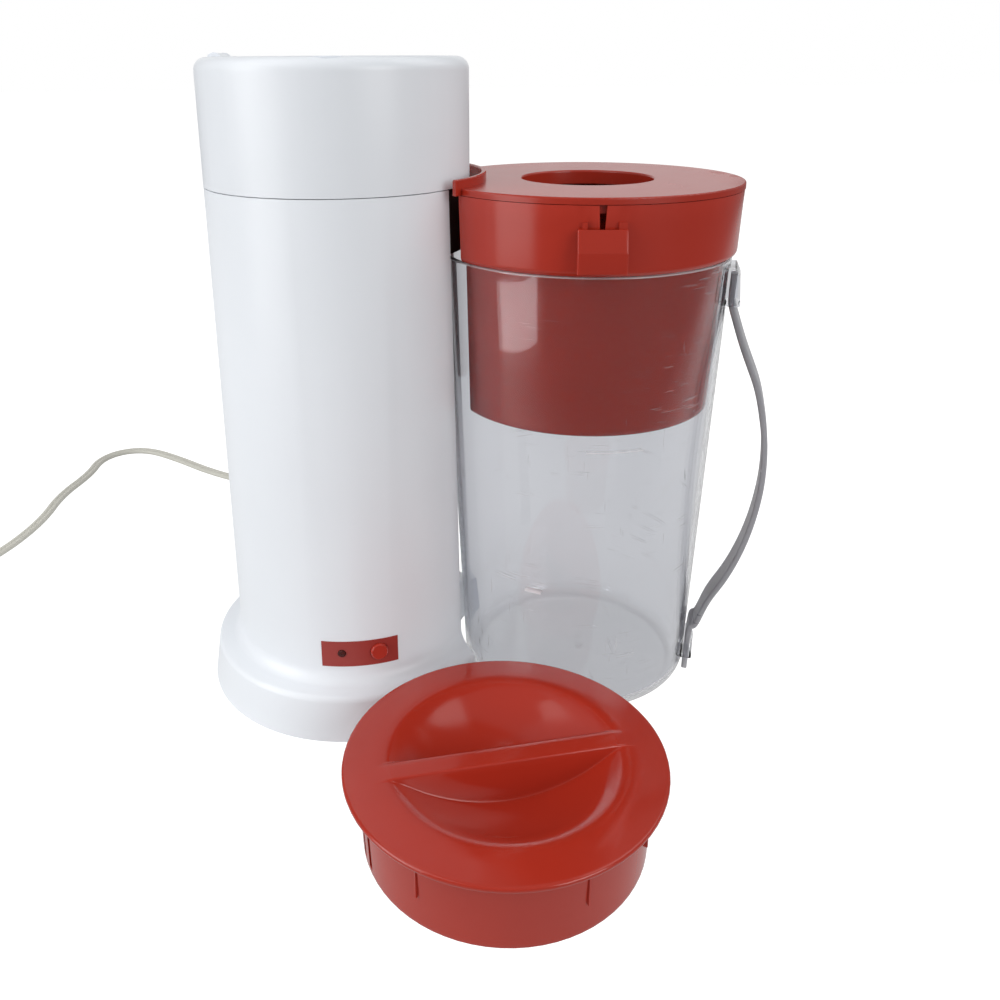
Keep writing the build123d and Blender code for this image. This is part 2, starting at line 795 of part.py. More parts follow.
with BuildPart() as fill_lid:
    with BuildSketch(Plane.XY.offset(tower_height - fill_lid_thickness)):
        Circle(lid_opening_radius - lid_clearance)
    extrude(amount=fill_lid_thickness)
    fillet(edges().group_by(Axis.Z)[-1], 0.8)
    with BuildSketch(Plane.XY.offset(tower_height - fill_lid_thickness - lid_skirt_depth)):
        Circle(lid_skirt_radius)
        Circle(lid_skirt_radius - lid_skirt_wall, mode=Mode.SUBTRACT)
    extrude(amount=lid_skirt_depth)
    with BuildSketch(hinge_plane):
        with Locations((hinge_radius, hinge_height)):
            Circle(knuckle_radius)
        with Locations((hinge_radius - knuckle_radius - 1, hinge_height + knuckle_radius - arm_height / 2 - 1.5)):
            Rectangle(2 * knuckle_radius + 2, arm_height)
        with Locations((hinge_radius, hinge_height)):
            Circle(hinge_pin_radius + 0.08, mode=Mode.SUBTRACT)
    extrude(amount=knuckle_half_width, both=True)

with BuildPart() as hinge_pin:
    with BuildSketch(hinge_plane):
        with Locations((hinge_radius, hinge_height)):
            Circle(hinge_pin_radius)
    extrude(amount=lug_half_width + 0.3, both=True)

# ================= pitcher and strap =================

strap_gap = 0.4
slot_depth = 2 * strap_gap + strap_thickness
lug_depth = slot_depth + lug_wall
slot_half_width = strap_width / 2 + 0.4
upper_lug_base = pitcher_height - upper_lug_drop
upper_lug_top = upper_lug_base + upper_lug_height
lower_lug_top = lower_lug_base + lower_lug_height
upper_flare = 1.6
lower_flare = 0.2
lug_shoulder = 5.0
slot_roof = 1.5


def beside_wall(height, outwards):
    return (pitcher_radius_at(height) + outwards, height)


def lug(base, top, flare):
    """Socket on the pitcher's wall, deeper at its foot, with a sloping shoulder."""
    with BuildPart() as form:
        with BuildSketch(strap_plane):
            Polygon(
                beside_wall(base, -1.6),
                beside_wall(base, lug_depth + flare),
                beside_wall(top - lug_shoulder, lug_depth),
                beside_wall(top, lug_depth / 2),
                beside_wall(top, -1.6),
                align=None,
            )
        extrude(amount=slot_half_width + lug_wall, both=True)
        fillet(form.edges().filter_by(GeomType.LINE).group_by(SortBy.LENGTH)[-1], 1.0)
    return form.part


def lug_slot(base, top, flare):
    """Space inside a lug for the end of the strap."""
    with BuildPart() as form:
        with BuildSketch(strap_plane):
            Polygon(
                beside_wall(base, strap_gap),
                beside_wall(base, slot_depth + flare),
                beside_wall(top, slot_depth),
                beside_wall(top, strap_gap),
                align=None,
            )
        extrude(amount=slot_half_width, both=True)
    return form.part


strap_plane = upright(pitcher_centre, strap_angle)

with BuildPart() as pitcher:
    with BuildSketch(upright(pitcher_centre)):
        Polygon(
            (0, 0),
            (pitcher_bottom_radius, 0),
            (pitcher_rim_radius, pitcher_height),
            (0, pitcher_height),
            align=None,
        )
        fillet(vertices().group_by(Axis.Y)[0].sort_by(Axis.X)[-1], pitcher_bottom_fillet)
    revolve(axis=axis_at(pitcher_centre))
    add(lug(upper_lug_base, upper_lug_top, upper_flare))
    add(lug(lower_lug_base, lower_lug_top, lower_flare))
    add(lug_slot(upper_lug_base, upper_lug_top - slot_roof, upper_flare), mode=Mode.SUBTRACT)
    add(lug_slot(lower_lug_base, lower_lug_top, lower_flare), mode=Mode.SUBTRACT)
    with BuildSketch(upright(pitcher_centre)):
        Polygon(
            (0, pitcher_floor),
            (pitcher_bottom_radius - pitcher_wall, pitcher_floor),
            (pitcher_inner_rim, pitcher_height),
            (0, pitcher_height),
            align=None,
        )
        fillet(vertices().group_by(Axis.Y)[0].sort_by(Axis.X)[-1], pitcher_bottom_fillet - pitcher_wall)
    revolve(axis=axis_at(pitcher_centre), mode=Mode.SUBTRACT)
    fillet(edges().group_by(Axis.Z)[-1], rim_fillet)

strap_line = 1.5 * strap_gap + strap_thickness / 2
strap_bow = [
    (strap_reach - 20.6, 185.5),
    (strap_reach - 16.4, 173.3),
    (strap_reach - 11.6, 161.2),
    (strap_reach - 6.7, 148.9),
    (strap_reach - 3.5, 136.4),
    (strap_reach - 1.2, 123.6),
    (strap_reach - 0.2, 110.4),
    (strap_reach - 0.4, 97.0),
    (strap_reach - 2.0, 83.1),
    (strap_reach - 4.9, 68.8),
    (strap_reach - 9.4, 54.0),
    (strap_reach - 16.0, 38.6),
    (strap_reach - 23.9, 22.6),
    (strap_reach - 28.7, 10.5),
]
strap_start = beside_wall(upper_lug_top - 2 * slot_roof, strap_line)
strap_leaves = beside_wall(upper_lug_base + 4.0, strap_line)
# the bow's points are drawn for one span between the lugs, and follow the real span
bow_scale = (upper_lug_base - lower_lug_top) / strap_drawn_span
bow_points = [(outwards, lower_lug_top + rise * bow_scale) for outwards, rise in strap_bow]
strap_joins = beside_wall(lower_lug_top, strap_line)
strap_end = beside_wall(strap_end_height, strap_line)

with BuildPart() as handle_strap:
    with BuildLine(strap_plane) as bow:
        upper_run = Line(strap_start, strap_leaves)
        lower_run = Line(strap_joins, strap_end)
        Spline(strap_leaves, *bow_points, strap_joins, tangents=[upper_run % 1, lower_run % 0])
    with BuildSketch(Plane(upper_run @ 0, x_dir=strap_plane.z_dir, z_dir=upper_run % 0)):
        RectangleRounded(strap_width, strap_thickness, strap_edge_radius)
    sweep(path=bow.wires()[0])

# ================= brew basket =================

with BuildPart() as basket_space:
    with BuildSketch(upright(pitcher_centre)):
        Polygon(
            (0, tub_bottom + basket_floor),
            (tub_bottom_radius - basket_wall, tub_bottom + basket_floor),
            (tub_top_radius - basket_wall, basket_seat + basket_wall),
            (band_bottom_radius - basket_wall, basket_seat + basket_wall + 1.0),
            (band_top_radius - basket_wall, band_top),
            (0, band_top),
            align=None,
        )
    revolve(axis=axis_at(pitcher_centre))
    with BuildSketch(Plane.XY.offset(tub_bottom)):
        Circle(notch_radius + notch_wall)
    extrude(amount=band_top - tub_bottom, mode=Mode.SUBTRACT)

inlet_width = 9.0
inlet_height = 9.0
drain_rings = [(0.0, 1), (13.0, 6), (27.0, 12)]
drain_spread = 14.0
slot_bottom = basket_seat + slot_bottom_height
rail_height = 21.0
rail_bottom = basket_seat + 3.6
rail_depth = 1.0
rails = [(slot_angle - 5.7, 2.2), (slot_angle + 6.5, 3.6)]

with BuildPart() as brew_basket:
    with BuildSketch(upright(pitcher_centre)):
        Polygon(
            (0, tub_bottom),
            (tub_bottom_radius, tub_bottom),
            (tub_top_radius, basket_seat),
            (band_bottom_radius, basket_seat),
            (band_top_radius, band_top),
            (0, band_top),
            align=None,
        )
        fillet(vertices().group_by(Axis.Y)[1].sort_by(Axis.X)[-1], band_corner)
        fillet(vertices().group_by(Axis.Y)[0].sort_by(Axis.X)[-1], tub_corner)
    revolve(axis=axis_at(pitcher_centre))
    for angle, width in rails:
        with BuildSketch(facing(pitcher_centre, angle, rail_bottom + rail_height / 2, band_bottom_radius - 1)):
            Rectangle(width, rail_height)
        extrude(amount=band_top_radius - band_bottom_radius + 1 + rail_depth)
    with BuildSketch(Plane.XY.offset(tub_bottom)):
        Circle(notch_radius)
    extrude(amount=band_top - tub_bottom, mode=Mode.SUBTRACT)
    add(basket_space.part, mode=Mode.SUBTRACT)
    # drain holes in the tub's floor
    with BuildSketch(Plane.XY.offset(tub_bottom)):
        with Locations((dock_x, dock_y)):
            for ring, count in drain_rings:
                with PolarLocations(ring, count):
                    Circle(drain_radius)
    extrude(amount=basket_floor, mode=Mode.SUBTRACT)
    # window that the spout pours through
    with BuildSketch(facing(tower_centre, dock_angle, spout_height, notch_radius - 1)):
        RectangleRounded(inlet_width, inlet_height, 2.0)
    extrude(amount=notch_wall + 2, mode=Mode.SUBTRACT)
    # tapered slot for the slider's stem
    with BuildSketch(facing(pitcher_centre, slot_angle, slot_bottom, band_top_radius + 1)):
        slot_taper_start = band_height - slot_bottom_height - slot_taper_height / 2
        Polygon(
            (-slot_bottom_width / 2, 0),
            (slot_bottom_width / 2, 0),
            (slot_bottom_width / 2, slot_taper_start),
            (slot_top_width / 2, band_height - slot_bottom_height),
            (-slot_top_width / 2, band_height - slot_bottom_height),
            (-slot_bottom_width / 2, slot_taper_start),
            align=None,
        )
    extrude(amount=-2.5 * basket_wall, mode=Mode.SUBTRACT)

tab_bottom = basket_seat + 2.8
tab_gap = rail_depth + 0.4
tab_front = band_top_radius + tab_projection
stem_width = slot_bottom_width - 0.5
stem_height = 6.0
stem_bottom = slot_bottom + 0.5
valve_width = 10.0
valve_height = 11.5
valve_thickness = 1.4
valve_face = band_bottom_radius - basket_wall - 0.4

with BuildPart() as strength_slider:
    with BuildSketch(upright(pitcher_centre, slot_angle)):
        Polygon(
            (band_bottom_radius - 3, tab_bottom),
            (tab_front, tab_bottom),
            (tab_front, tab_bottom + tab_face_height),
            (tab_front - tab_slope, tab_bottom + tab_height),
            (band_bottom_radius - 3, tab_bottom + tab_height),
            align=None,
        )
    extrude(amount=tab_width / 2, both=True)
    with BuildSketch(Plane.XY.offset(tab_bottom)):
        with Locations((dock_x, dock_y)):
            Circle(band_top_radius + tab_gap)
    extrude(amount=tab_height, mode=Mode.SUBTRACT)
    with BuildSketch(facing(pitcher_centre, slot_angle, stem_bottom + stem_height / 2, valve_face)):
        Rectangle(stem_width, stem_height)
    extrude(amount=band_top_radius + tab_gap + 1.0 - valve_face)
    with BuildSketch(facing(pitcher_centre, slot_angle, stem_bottom - 1 + valve_height / 2, valve_face)):
        Rectangle(valve_width, valve_height)
    extrude(amount=-valve_thickness)

cover_edge_fillet = 0.7
hole_edge_fillet = 1.0
collar_edge_fillet = 0.7
lip_radius = band_top_radius - basket_wall - 0.3

with BuildPart() as basket_cover:
    with BuildSketch(Plane.XY.offset(cover_bottom)):
        with Locations((dock_x, dock_y)):
            Circle(cover_radius)
    extrude(amount=cover_thickness)
    fillet(edges().group_by(Axis.Z)[-1], cover_edge_fillet)
    with BuildSketch(Plane.XY.offset(cover_bottom - cover_lip_depth)):
        with Locations((dock_x, dock_y)):
            Circle(lip_radius)
            Circle(lip_radius - cover_lip_wall, mode=Mode.SUBTRACT)
            Circle(cover_hole_radius + cover_lip_wall)
    extrude(amount=cover_lip_depth)
    with BuildSketch(Plane.XY.offset(cover_bottom - cover_lip_depth)):
        with Locations((dock_x, dock_y)):
            Circle(cover_hole_radius)
    extrude(amount=cover_lip_depth + cover_thickness, mode=Mode.SUBTRACT)
    hole_rims = edges().filter_by(GeomType.CIRCLE).filter_by(lambda rim: abs(rim.radius - cover_hole_radius) < 0.01)
    fillet(hole_rims.sort_by(Axis.Z)[-1], hole_edge_fillet)
    with BuildSketch(Plane.XY.offset(cover_bottom - cover_lip_depth)):
        Circle(notch_radius + notch_wall + 0.3)
    extrude(amount=cover_lip_depth, mode=Mode.SUBTRACT)
    with BuildSketch(Plane.XY.offset(cover_bottom)):
        Circle(notch_radius)
    extrude(amount=cover_thickness, mode=Mode.SUBTRACT)
    # collar round the tower, with a horn at each end
    with BuildSketch(Plane.XY.offset(cover_bottom)):
        Circle(notch_radius + notch_wall)
        with Locations((dock_x, dock_y)):
            Circle(collar_horn_radius, mode=Mode.INTERSECT)
        Circle(notch_radius, mode=Mode.SUBTRACT)
    extrude(amount=cover_thickness + collar_height)
    fillet(edges().group_by(Axis.Z)[-1], collar_edge_fillet)

# ================= serving lid =================

bowl_sphere = (bowl_radius**2 + bowl_depth**2) / (2 * bowl_depth)
bowl_centre = serving_crown_height - bowl_depth + bowl_sphere
skirt_top = serving_flange_top - serving_flange_thickness
pour_slot_start = -161.5
pour_slot_step = -7.0
pour_slot_count = 6
pour_slot_width = 3.2
pour_slot_height = 26.0
rib_angles = [-131.5, -68.0, -32.0, 20.0, 75.0, 130.0]
rib_width = 1.4
rib_depth = 0.5
rib_height = 20.0


def bowl_form(extra):
    """Dish of the lid's top, less the grip bar that crosses it, for a wall of extra."""
    half_bar = bar_width / 2 - extra
    bar_spread = bowl_depth * math.tan(math.radians(bar_draft))
    with BuildPart() as form:
        with Locations((serving_x, serving_y, bowl_centre)):
            Sphere(bowl_sphere + extra)
        with BuildSketch(Plane.XY.offset(serving_crown_height)):
            with Locations((serving_x, serving_y)):
                Circle(4 * bowl_radius)
        extrude(amount=4 * bowl_sphere, mode=Mode.SUBTRACT)
        with BuildSketch(facing(serving_centre, bar_angle, 0, 0)):
            Polygon(
                (-half_bar - bar_spread, serving_crown_height - bowl_depth - extra - 1),
                (half_bar + bar_spread, serving_crown_height - bowl_depth - extra - 1),
                (half_bar, serving_crown_height),
                (-half_bar, serving_crown_height),
                align=None,
            )
        extrude(amount=2 * bowl_radius, both=True, mode=Mode.SUBTRACT)
    return form.part


with BuildPart() as serving_space:
    with BuildSketch(upright(serving_centre)):
        Polygon(
            (0, 0),
            (serving_skirt_bottom_radius - serving_wall, 0),
            (serving_skirt_top_radius - serving_wall, skirt_top - serving_wall),
            (bowl_radius, serving_crown_height - serving_wall),
            (0, serving_crown_height - serving_wall),
            align=None,
        )
    revolve(axis=axis_at(serving_centre))
    add(bowl_form(serving_wall), mode=Mode.SUBTRACT)

with BuildPart() as serving_lid:
    with BuildSketch(upright(serving_centre)):
        Polygon(
            (0, 0),
            (serving_skirt_bottom_radius, 0),
            (serving_skirt_top_radius, skirt_top),
            (serving_flange_radius, skirt_top),
            (serving_flange_radius, serving_flange_top),
            (bowl_radius, serving_crown_height),
            (0, serving_crown_height),
            align=None,
        )
        fillet(vertices().group_by(Axis.X)[-1], serving_flange_thickness / 2.5)
    revolve(axis=axis_at(serving_centre))
    for angle in rib_angles:
        with BuildSketch(facing(serving_centre, angle, skirt_top - rib_height / 2, serving_skirt_bottom_radius - 1)):
            Rectangle(rib_width, rib_height)
        extrude(amount=serving_skirt_top_radius + rib_depth - serving_skirt_bottom_radius + 1)
    add(bowl_form(0), mode=Mode.SUBTRACT)
    add(serving_space.part, mode=Mode.SUBTRACT)
    for step in range(pour_slot_count):
        slot_turn = pour_slot_start + step * pour_slot_step
        with BuildSketch(facing(serving_centre, slot_turn, pour_slot_height / 2 + 3.0, serving_skirt_bottom_radius - 5)):
            Rectangle(pour_slot_width, pour_slot_height)
        extrude(amount=8.0, mode=Mode.SUBTRACT)

# ================= cord, relief and plug =================


with BuildPart() as strain_relief:
    with BuildSketch(relief_plane):
        SlotOverall(*relief_base)
    with BuildSketch(relief_plane.offset(relief_length)):
        SlotOverall(*relief_tip)
    loft()
    with BuildSketch(relief_plane):
        Circle(relief_neck_radius)
    extrude(amount=-relief_inside)
    with BuildSketch(relief_plane.offset(-relief_inside)):
        Circle(relief_flange_radius)
    extrude(amount=-relief_flange_thickness)

cord_level = 2.1
plug_level = plug_height / 2
exit_radius = foot_bottom_radius + relief_length
cord_points = [
    around(exit_radius, cord_exit_angle, cord_exit_height),
    around(exit_radius + 17.0, cord_exit_angle, cord_exit_height),
    (-15.0, 152.0, 3.6),
    (-32.0, 184.0, cord_level),
    (-58.0, 216.0, cord_level),
    (-88.0, 243.0, cord_level),
    (-121.0, 267.0, cord_level),
    (-152.0, 298.0, cord_level),
    (-180.0, 321.0, cord_level),
    (-203.0, 321.0, cord_level),
    (-218.0, 304.0, cord_level),
    (-219.0, 274.0, cord_level),
    (-231.0, 234.0, cord_level),
    (-232.0, 194.0, cord_level),
    (-241.0, 156.0, cord_level),
    (-256.0, 120.0, 3.4),
    (-262.0, 84.0, plug_level),
    (-272.0, 52.0, plug_level),
]


def arc_radii(points, share=0.45):
    """Largest even arc at each corner of a route, as a share of its shorter run."""
    radii = []
    for before, corner, after in zip(points, points[1:], points[2:]):
        run_in = Vector(*corner) - Vector(*before)
        run_out = Vector(*after) - Vector(*corner)
        half_turn = math.radians(run_in.get_angle(run_out)) / 2
        radii.append(share * min(run_in.length, run_out.length) / math.tan(half_turn))
    return radii


cord_radii = arc_radii(cord_points)

with BuildPart() as power_cord:
    with BuildLine() as cord_route:
        FilletPolyline(*cord_points, radius=cord_radii)
    cord_start = Vector(*cord_points[1]) - Vector(*cord_points[0])
    level_across = cord_start.cross(Vector(0, 0, 1))
    with BuildSketch(Plane(cord_points[0], x_dir=level_across, z_dir=cord_start)):
        SlotOverall(cord_width, cord_thickness)
    sweep(path=cord_route.wires()[0])

print("cord arc radii:", [round(radius, 1) for radius in cord_radii])
cord_length = cord_route.wires()[0].length
cord_section = (cord_width - cord_thickness) * cord_thickness + math.pi * cord_thickness**2 / 4
print("cord length:", round(cord_length, 1), "volume ratio:", round(power_cord.part.volume / (cord_section * cord_length), 4))

plug_heading = Vector(*cord_points[-1]) - Vector(*cord_points[-2])
plug_plane = Plane(cord_points[-1], x_dir=plug_heading.cross(Vector(0, 0, 1)), z_dir=plug_heading)
plug_neck_length = 8.0

blade_width = 6.3
blade_thickness = 1.5

with BuildPart() as plug_blades:
    with BuildSketch(plug_plane.offset(plug_length - 3.0)):
        with GridLocations(blade_spacing, 0, 2, 1):
            Rectangle(blade_thickness, blade_width)
    extrude(amount=blade_length + 3.0)

with BuildPart() as plug_body:
    with BuildSketch(plug_plane):
        RectangleRounded(cord_width + 3.0, cord_thickness + 3.0, 2.0)
    with BuildSketch(plug_plane.offset(plug_neck_length)):
        RectangleRounded(plug_width, plug_height, 3.0)
    loft()
    with BuildSketch(plug_plane.offset(plug_neck_length)):
        RectangleRounded(plug_width, plug_height, 3.0)
    extrude(amount=plug_length - plug_neck_length)
    add(plug_blades.part, mode=Mode.SUBTRACT)

pieces = {
    "tower_housing": tower_housing,
    "tower_cap": tower_cap,
    "base_plate": base_plate,
    "rubber_feet": rubber_feet,
    "base_screws": base_screws,
    "control_panel": control_panel,
    "push_button": push_button,
    "indicator_lens": indicator_lens,
    "indicator_lamp": indicator_lamp,
    "power_switch": power_switch,
    "water_tank": water_tank,
    "heater_pipe": heater_pipe,
    "heating_element": heating_element,
    "heater_casting": heater_casting,
    "heater_bracket": heater_bracket,
    "bracket_screws": bracket_screws,
    "thermostat": thermostat,
    "thermal_fuse": thermal_fuse,
    "lead_wires": lead_wires,
    "inlet_hose": inlet_hose,
    "riser_hose": riser_hose,
    "check_valve_ball": check_valve_ball,
    "hose_clamps": hose_clamps,
    "water_spout": water_spout,
    "spout_shroud": spout_shroud,
    "fill_lid": fill_lid,
    "hinge_pin": hinge_pin,
    "pitcher": pitcher,
    "handle_strap": handle_strap,
    "brew_basket": brew_basket,
    "strength_slider": strength_slider,
    "basket_cover": basket_cover,
    "serving_lid": serving_lid,
    "strain_relief": strain_relief,
    "power_cord": power_cord,
    "plug_body": plug_body,
    "plug_blades": plug_blades,
}

for name, piece in pieces.items():
    piece.part.label = name
    export_step(piece.part, f"parts/{name}.step")
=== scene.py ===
import math
from functools import partial

import bmesh
import bpy
from bpy.props import FloatProperty, FloatVectorProperty, IntProperty, PointerProperty
from bpy.types import Operator, Panel, PropertyGroup
from mathutils import Matrix, Vector


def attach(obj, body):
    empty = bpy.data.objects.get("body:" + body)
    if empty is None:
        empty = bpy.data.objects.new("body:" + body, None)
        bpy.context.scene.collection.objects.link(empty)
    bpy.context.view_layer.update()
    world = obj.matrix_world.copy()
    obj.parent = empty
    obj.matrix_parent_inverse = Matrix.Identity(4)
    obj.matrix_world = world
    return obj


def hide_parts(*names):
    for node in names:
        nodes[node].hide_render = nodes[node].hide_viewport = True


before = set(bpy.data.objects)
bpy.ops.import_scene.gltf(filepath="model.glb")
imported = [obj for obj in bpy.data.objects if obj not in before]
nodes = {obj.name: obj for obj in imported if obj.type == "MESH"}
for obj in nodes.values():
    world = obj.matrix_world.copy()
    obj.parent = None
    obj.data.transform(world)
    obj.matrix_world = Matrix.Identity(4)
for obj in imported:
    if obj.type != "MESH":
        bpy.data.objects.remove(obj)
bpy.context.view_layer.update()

bl_info = {
    "name": "Iced tea maker",
    "version": (1, 0, 0),
    "blender": (4, 5, 0),
    "location": "3D View > Sidebar > Tea Maker",
    "description": "Detailed pieces and finishes for an iced tea maker, and its stage",
    "category": "Object",
}

MM = 0.001
PITCHER_AXIS = (0.12245, -0.0105)
WHITE = (1.0, 1.0, 1.0)
TOWER_NODES = ["tower_housing", "tower_cap", "fill_lid"]
SMOOTH_ANGLE = math.radians(40.0)

# ---------------------------------------------------------------- shader maths


class Value:
    """A socket of a finish's node tree, so that shader maths reads as expressions."""

    def __init__(self, finish, socket):
        self.finish = finish
        self.socket = socket

    def maths(self, operation, first, second):
        return self.finish.node("ShaderNodeMath", {"operation": operation}, {0: first, 1: second})

    def __add__(self, other):
        return self.maths("ADD", self, other)

    def __radd__(self, other):
        return self.maths("ADD", other, self)

    def __sub__(self, other):
        return self.maths("SUBTRACT", self, other)

    def __rsub__(self, other):
        return self.maths("SUBTRACT", other, self)

    def __mul__(self, other):
        return self.maths("MULTIPLY", self, other)

    def __rmul__(self, other):
        return self.maths("MULTIPLY", other, self)


class Finish:
    """One procedural material, built from named node calls."""

    def __init__(self, name):
        self.material = bpy.data.materials.new(name)
        self.material.use_nodes = True
        self.tree = self.material.node_tree
        self.tree.nodes.clear()
        self.place = self.node("ShaderNodeTexCoord", outlet="Object")

    def node(self, kind, settings=None, inlets=None, outlet=0):
        """Adds a node, sets it, feeds its sockets and gives back one of its outputs."""
        made = self.tree.nodes.new(kind)
        for key, value in (settings or {}).items():
            setattr(made, key, value)
        for key, value in (inlets or {}).items():
            self.feed(made.inputs[key], value)
        return None if outlet is None else Value(self, made.outputs[outlet])

    def feed(self, socket, value):
        if isinstance(value, Value):
            self.tree.links.new(value.socket, socket)
        else:
            socket.default_value = value

    def noise(self, scale, detail=3.0, roughness=0.5, stretch=None, turn=(0.0, 0.0, 0.0)):
        """Cloudy variation from 0 to 1 over the piece, stretched and turned where asked."""
        where = self.place
        if stretch:
            mapping = {"Vector": where, "Scale": stretch, "Rotation": turn}
            where = self.node("ShaderNodeMapping", None, mapping)
        inlets = {"Vector": where, "Scale": scale, "Detail": detail, "Roughness": roughness}
        return self.node("ShaderNodeTexNoise", None, inlets)

    def step(self, value, low, high):
        """Smooth step of a value from 0 at low to 1 at high."""
        inlets = {"Value": value, "From Min": low, "From Max": high}
        return self.node("ShaderNodeMapRange", {"interpolation_type": "SMOOTHSTEP"}, inlets)

    def within(self, value, middle, half, soft):
        """1 inside a band of a value and 0 outside it, with soft edges."""
        rise = self.step(value, middle - half - soft, middle - half)
        fall = self.step(value, middle + half, middle + half + soft)
        return rise - fall

    def axis(self, name):
        return self.node("ShaderNodeSeparateXYZ", None, {0: self.place}, name)

    def azimuth(self, centre):
        """Angle about an upright axis, in radians."""
        east = self.axis("X") - centre[0]
        north = self.axis("Y") - centre[1]
        return self.node("ShaderNodeMath", {"operation": "ARCTAN2"}, {0: north, 1: east})

    def blend(self, share, first, second):
        """Colour mix of two colours by a share from 0 to 1."""
        mix = self.tree.nodes.new("ShaderNodeMix")
        mix.data_type = "RGBA"
        self.feed(mix.inputs["Factor"], share)
        self.feed(mix.inputs["A"], first if isinstance(first, Value) else (*first, 1.0))
        self.feed(mix.inputs["B"], second if isinstance(second, Value) else (*second, 1.0))
        return Value(self, mix.outputs["Result"])

    def edges(self, low=0.52, high=0.62):
        """1 along raised edges, where handling rubs a moulding and where edge highlights are painted."""
        return self.step(self.node("ShaderNodeNewGeometry", outlet="Pointiness"), low, high)

    def scratches(self, fine=60.0):
        """Sparse hairline marks in two directions."""
        patches = self.step(self.noise(22.0, 2.0), 0.50, 0.62)
        first = self.step(self.noise(fine, 1.0, 0.4, (1.0, 1.0, 24.0), (0.5, 0.3, 0.0)), 0.70, 0.74)
        second = self.step(self.noise(fine, 1.0, 0.4, (20.0, 1.0, 1.0), (0.0, 0.9, 0.4)), 0.72, 0.76)
        return (first + second) * patches

    def bump(self, height, strength, distance):
        inlets = {"Height": height, "Strength": strength, "Distance": distance}
        return self.node("ShaderNodeBump", None, inlets)

    def shader(self, **sockets):
        """A shader; keyword names are its sockets."""
        shader = self.tree.nodes.new("ShaderNodeBsdfPrincipled")
        for key, value in sockets.items():
            socket = shader.inputs[key.replace("_", " ")]
            if not isinstance(value, Value) and socket.type == "RGBA":
                value = (*value, 1.0)
            self.feed(socket, value)
        return Value(self, shader.outputs[0])

    def output(self, shader):
        self.node("ShaderNodeOutputMaterial", None, {"Surface": shader}, None)
        return self.material

    def surface(self, **sockets):
        return self.output(self.shader(**sockets))


def darker(colour, share):
    return tuple(part * share for part in colour)


def moulded(name, colour, gloss, peel=1100.0, drift=0.06, wear_and_highlight=0.2, pale=1.25, marks=0.6, **sockets):
    """Moulded plastic: slow drift of tint, orange peel, rubbed patches, hairlines, and edges made paler,
    partly as rubbing and partly as a painted highlight.
    """
    finish = Finish(name)
    cloud = finish.step(finish.noise(11.0, 3.0), 0.3, 0.7)
    rub = finish.noise(75.0, 4.0, 0.62)
    skin = finish.noise(peel, 2.0, 0.5)
    hair = finish.scratches() * marks
    edge = finish.edges()
    tint = finish.blend(cloud, darker(colour, 1.0 - drift), darker(colour, 1.0 + drift / 2))
    # Edges are painted paler: partly rubbing of the moulding, partly a painted highlight along the edges.
    tint = finish.blend(edge * wear_and_highlight, tint, tuple(min(part * pale + 0.02, 1.0) for part in colour))
    roughness = gloss + 0.05 * (rub - 0.5) + 0.10 * hair + 0.10 * wear_and_highlight * edge
    normal = finish.bump(0.8 * skin + 0.06 * rub - 0.3 * hair, 0.08, 0.0001)
    return finish.surface(Base_Color=tint, Roughness=roughness, Normal=normal, **sockets)


# stretch of a grain that runs no particular way
EVEN = (1.0, 1.0, 1.0)


def metal(name, colour, gloss, stretch, grain=0.12, spots=0.0):
    """Worked metal: brushed or drawn grain, dull patches and darker spots where heat or air got at it."""
    finish = Finish(name)
    lines = finish.noise(260.0, 3.0, 0.6, stretch)
    patch = finish.step(finish.noise(38.0, 4.0, 0.6), 0.42, 0.68)
    tint = finish.blend(patch * (0.35 + spots), colour, darker(colour, 0.62))
    tint = finish.blend(finish.edges() * 0.4, tint, darker(colour, 1.15))
    roughness = gloss + grain * (lines - 0.5) + 0.18 * patch
    normal = finish.bump(lines, 0.2, 0.0001)
    return finish.surface(Base_Color=tint, Roughness=roughness, Metallic=1.0, Normal=normal)


# height, half height and softness of a level mark, then its middle, half width and softness as an angle
UPPER_MARK = ((0.1497, 0.00025, 0.0002), (-1.55, 0.20, 0.01))
LOWER_MARK = ((0.0712, 0.0007, 0.0003), (-2.13, 0.062, 0.01))
FOOT_SHADE = (0.010, 0.0)
# heights over which the rim is painted whitish: a painted highlight along the rim
RIM_HIGHLIGHT = (0.2329, 0.2334)


def clear_wall(colour, haze):
    """Clear moulded wall with a painted highlight along its rim, handling hairlines and two moulded level
    marks.
    """
    finish = Finish("clear_wall")
    cloud = finish.noise(16.0, 4.0, 0.6)
    hair = finish.scratches(46.0)
    height = finish.axis("Z")
    turn = finish.azimuth(PITCHER_AXIS)
    upper, lower = (
        finish.within(height, *level) * finish.within(turn, *reach)
        for level, reach in (UPPER_MARK, LOWER_MARK)
    )
    mark = upper * 0.7 + lower
    tint = finish.blend(cloud, darker(colour, 0.97), colour)
    tint = finish.blend(finish.step(height, *FOOT_SHADE), tint, darker(colour, 0.93))
    tint = finish.blend(mark, tint, (0.98, 0.98, 0.98))
    roughness = 0.012 + 0.22 * hair + 0.5 * mark
    normal = finish.bump(mark - 0.4 * hair, 0.12, 0.0002)
    clear = finish.shader(
        Base_Color=tint, Roughness=roughness, Normal=normal, Transmission_Weight=1.0 - haze, IOR=1.2,
        Coat_Weight=0.5, Coat_IOR=1.45, Coat_Roughness=0.03,
    )
    # Whitish matt shader: frosting for the level marks and hairlines, and a painted highlight along the rim.
    rubbed = finish.shader(Base_Color=(0.80, 0.77, 0.80), Roughness=0.35)
    rim = finish.step(height, *RIM_HIGHLIGHT)
    frosting_and_rim_highlight = 0.5 * mark + 0.28 * hair + 0.5 * rim
    return finish.output(finish.node("ShaderNodeMixShader", None, {0: frosting_and_rim_highlight, 1: clear, 2: rubbed}))


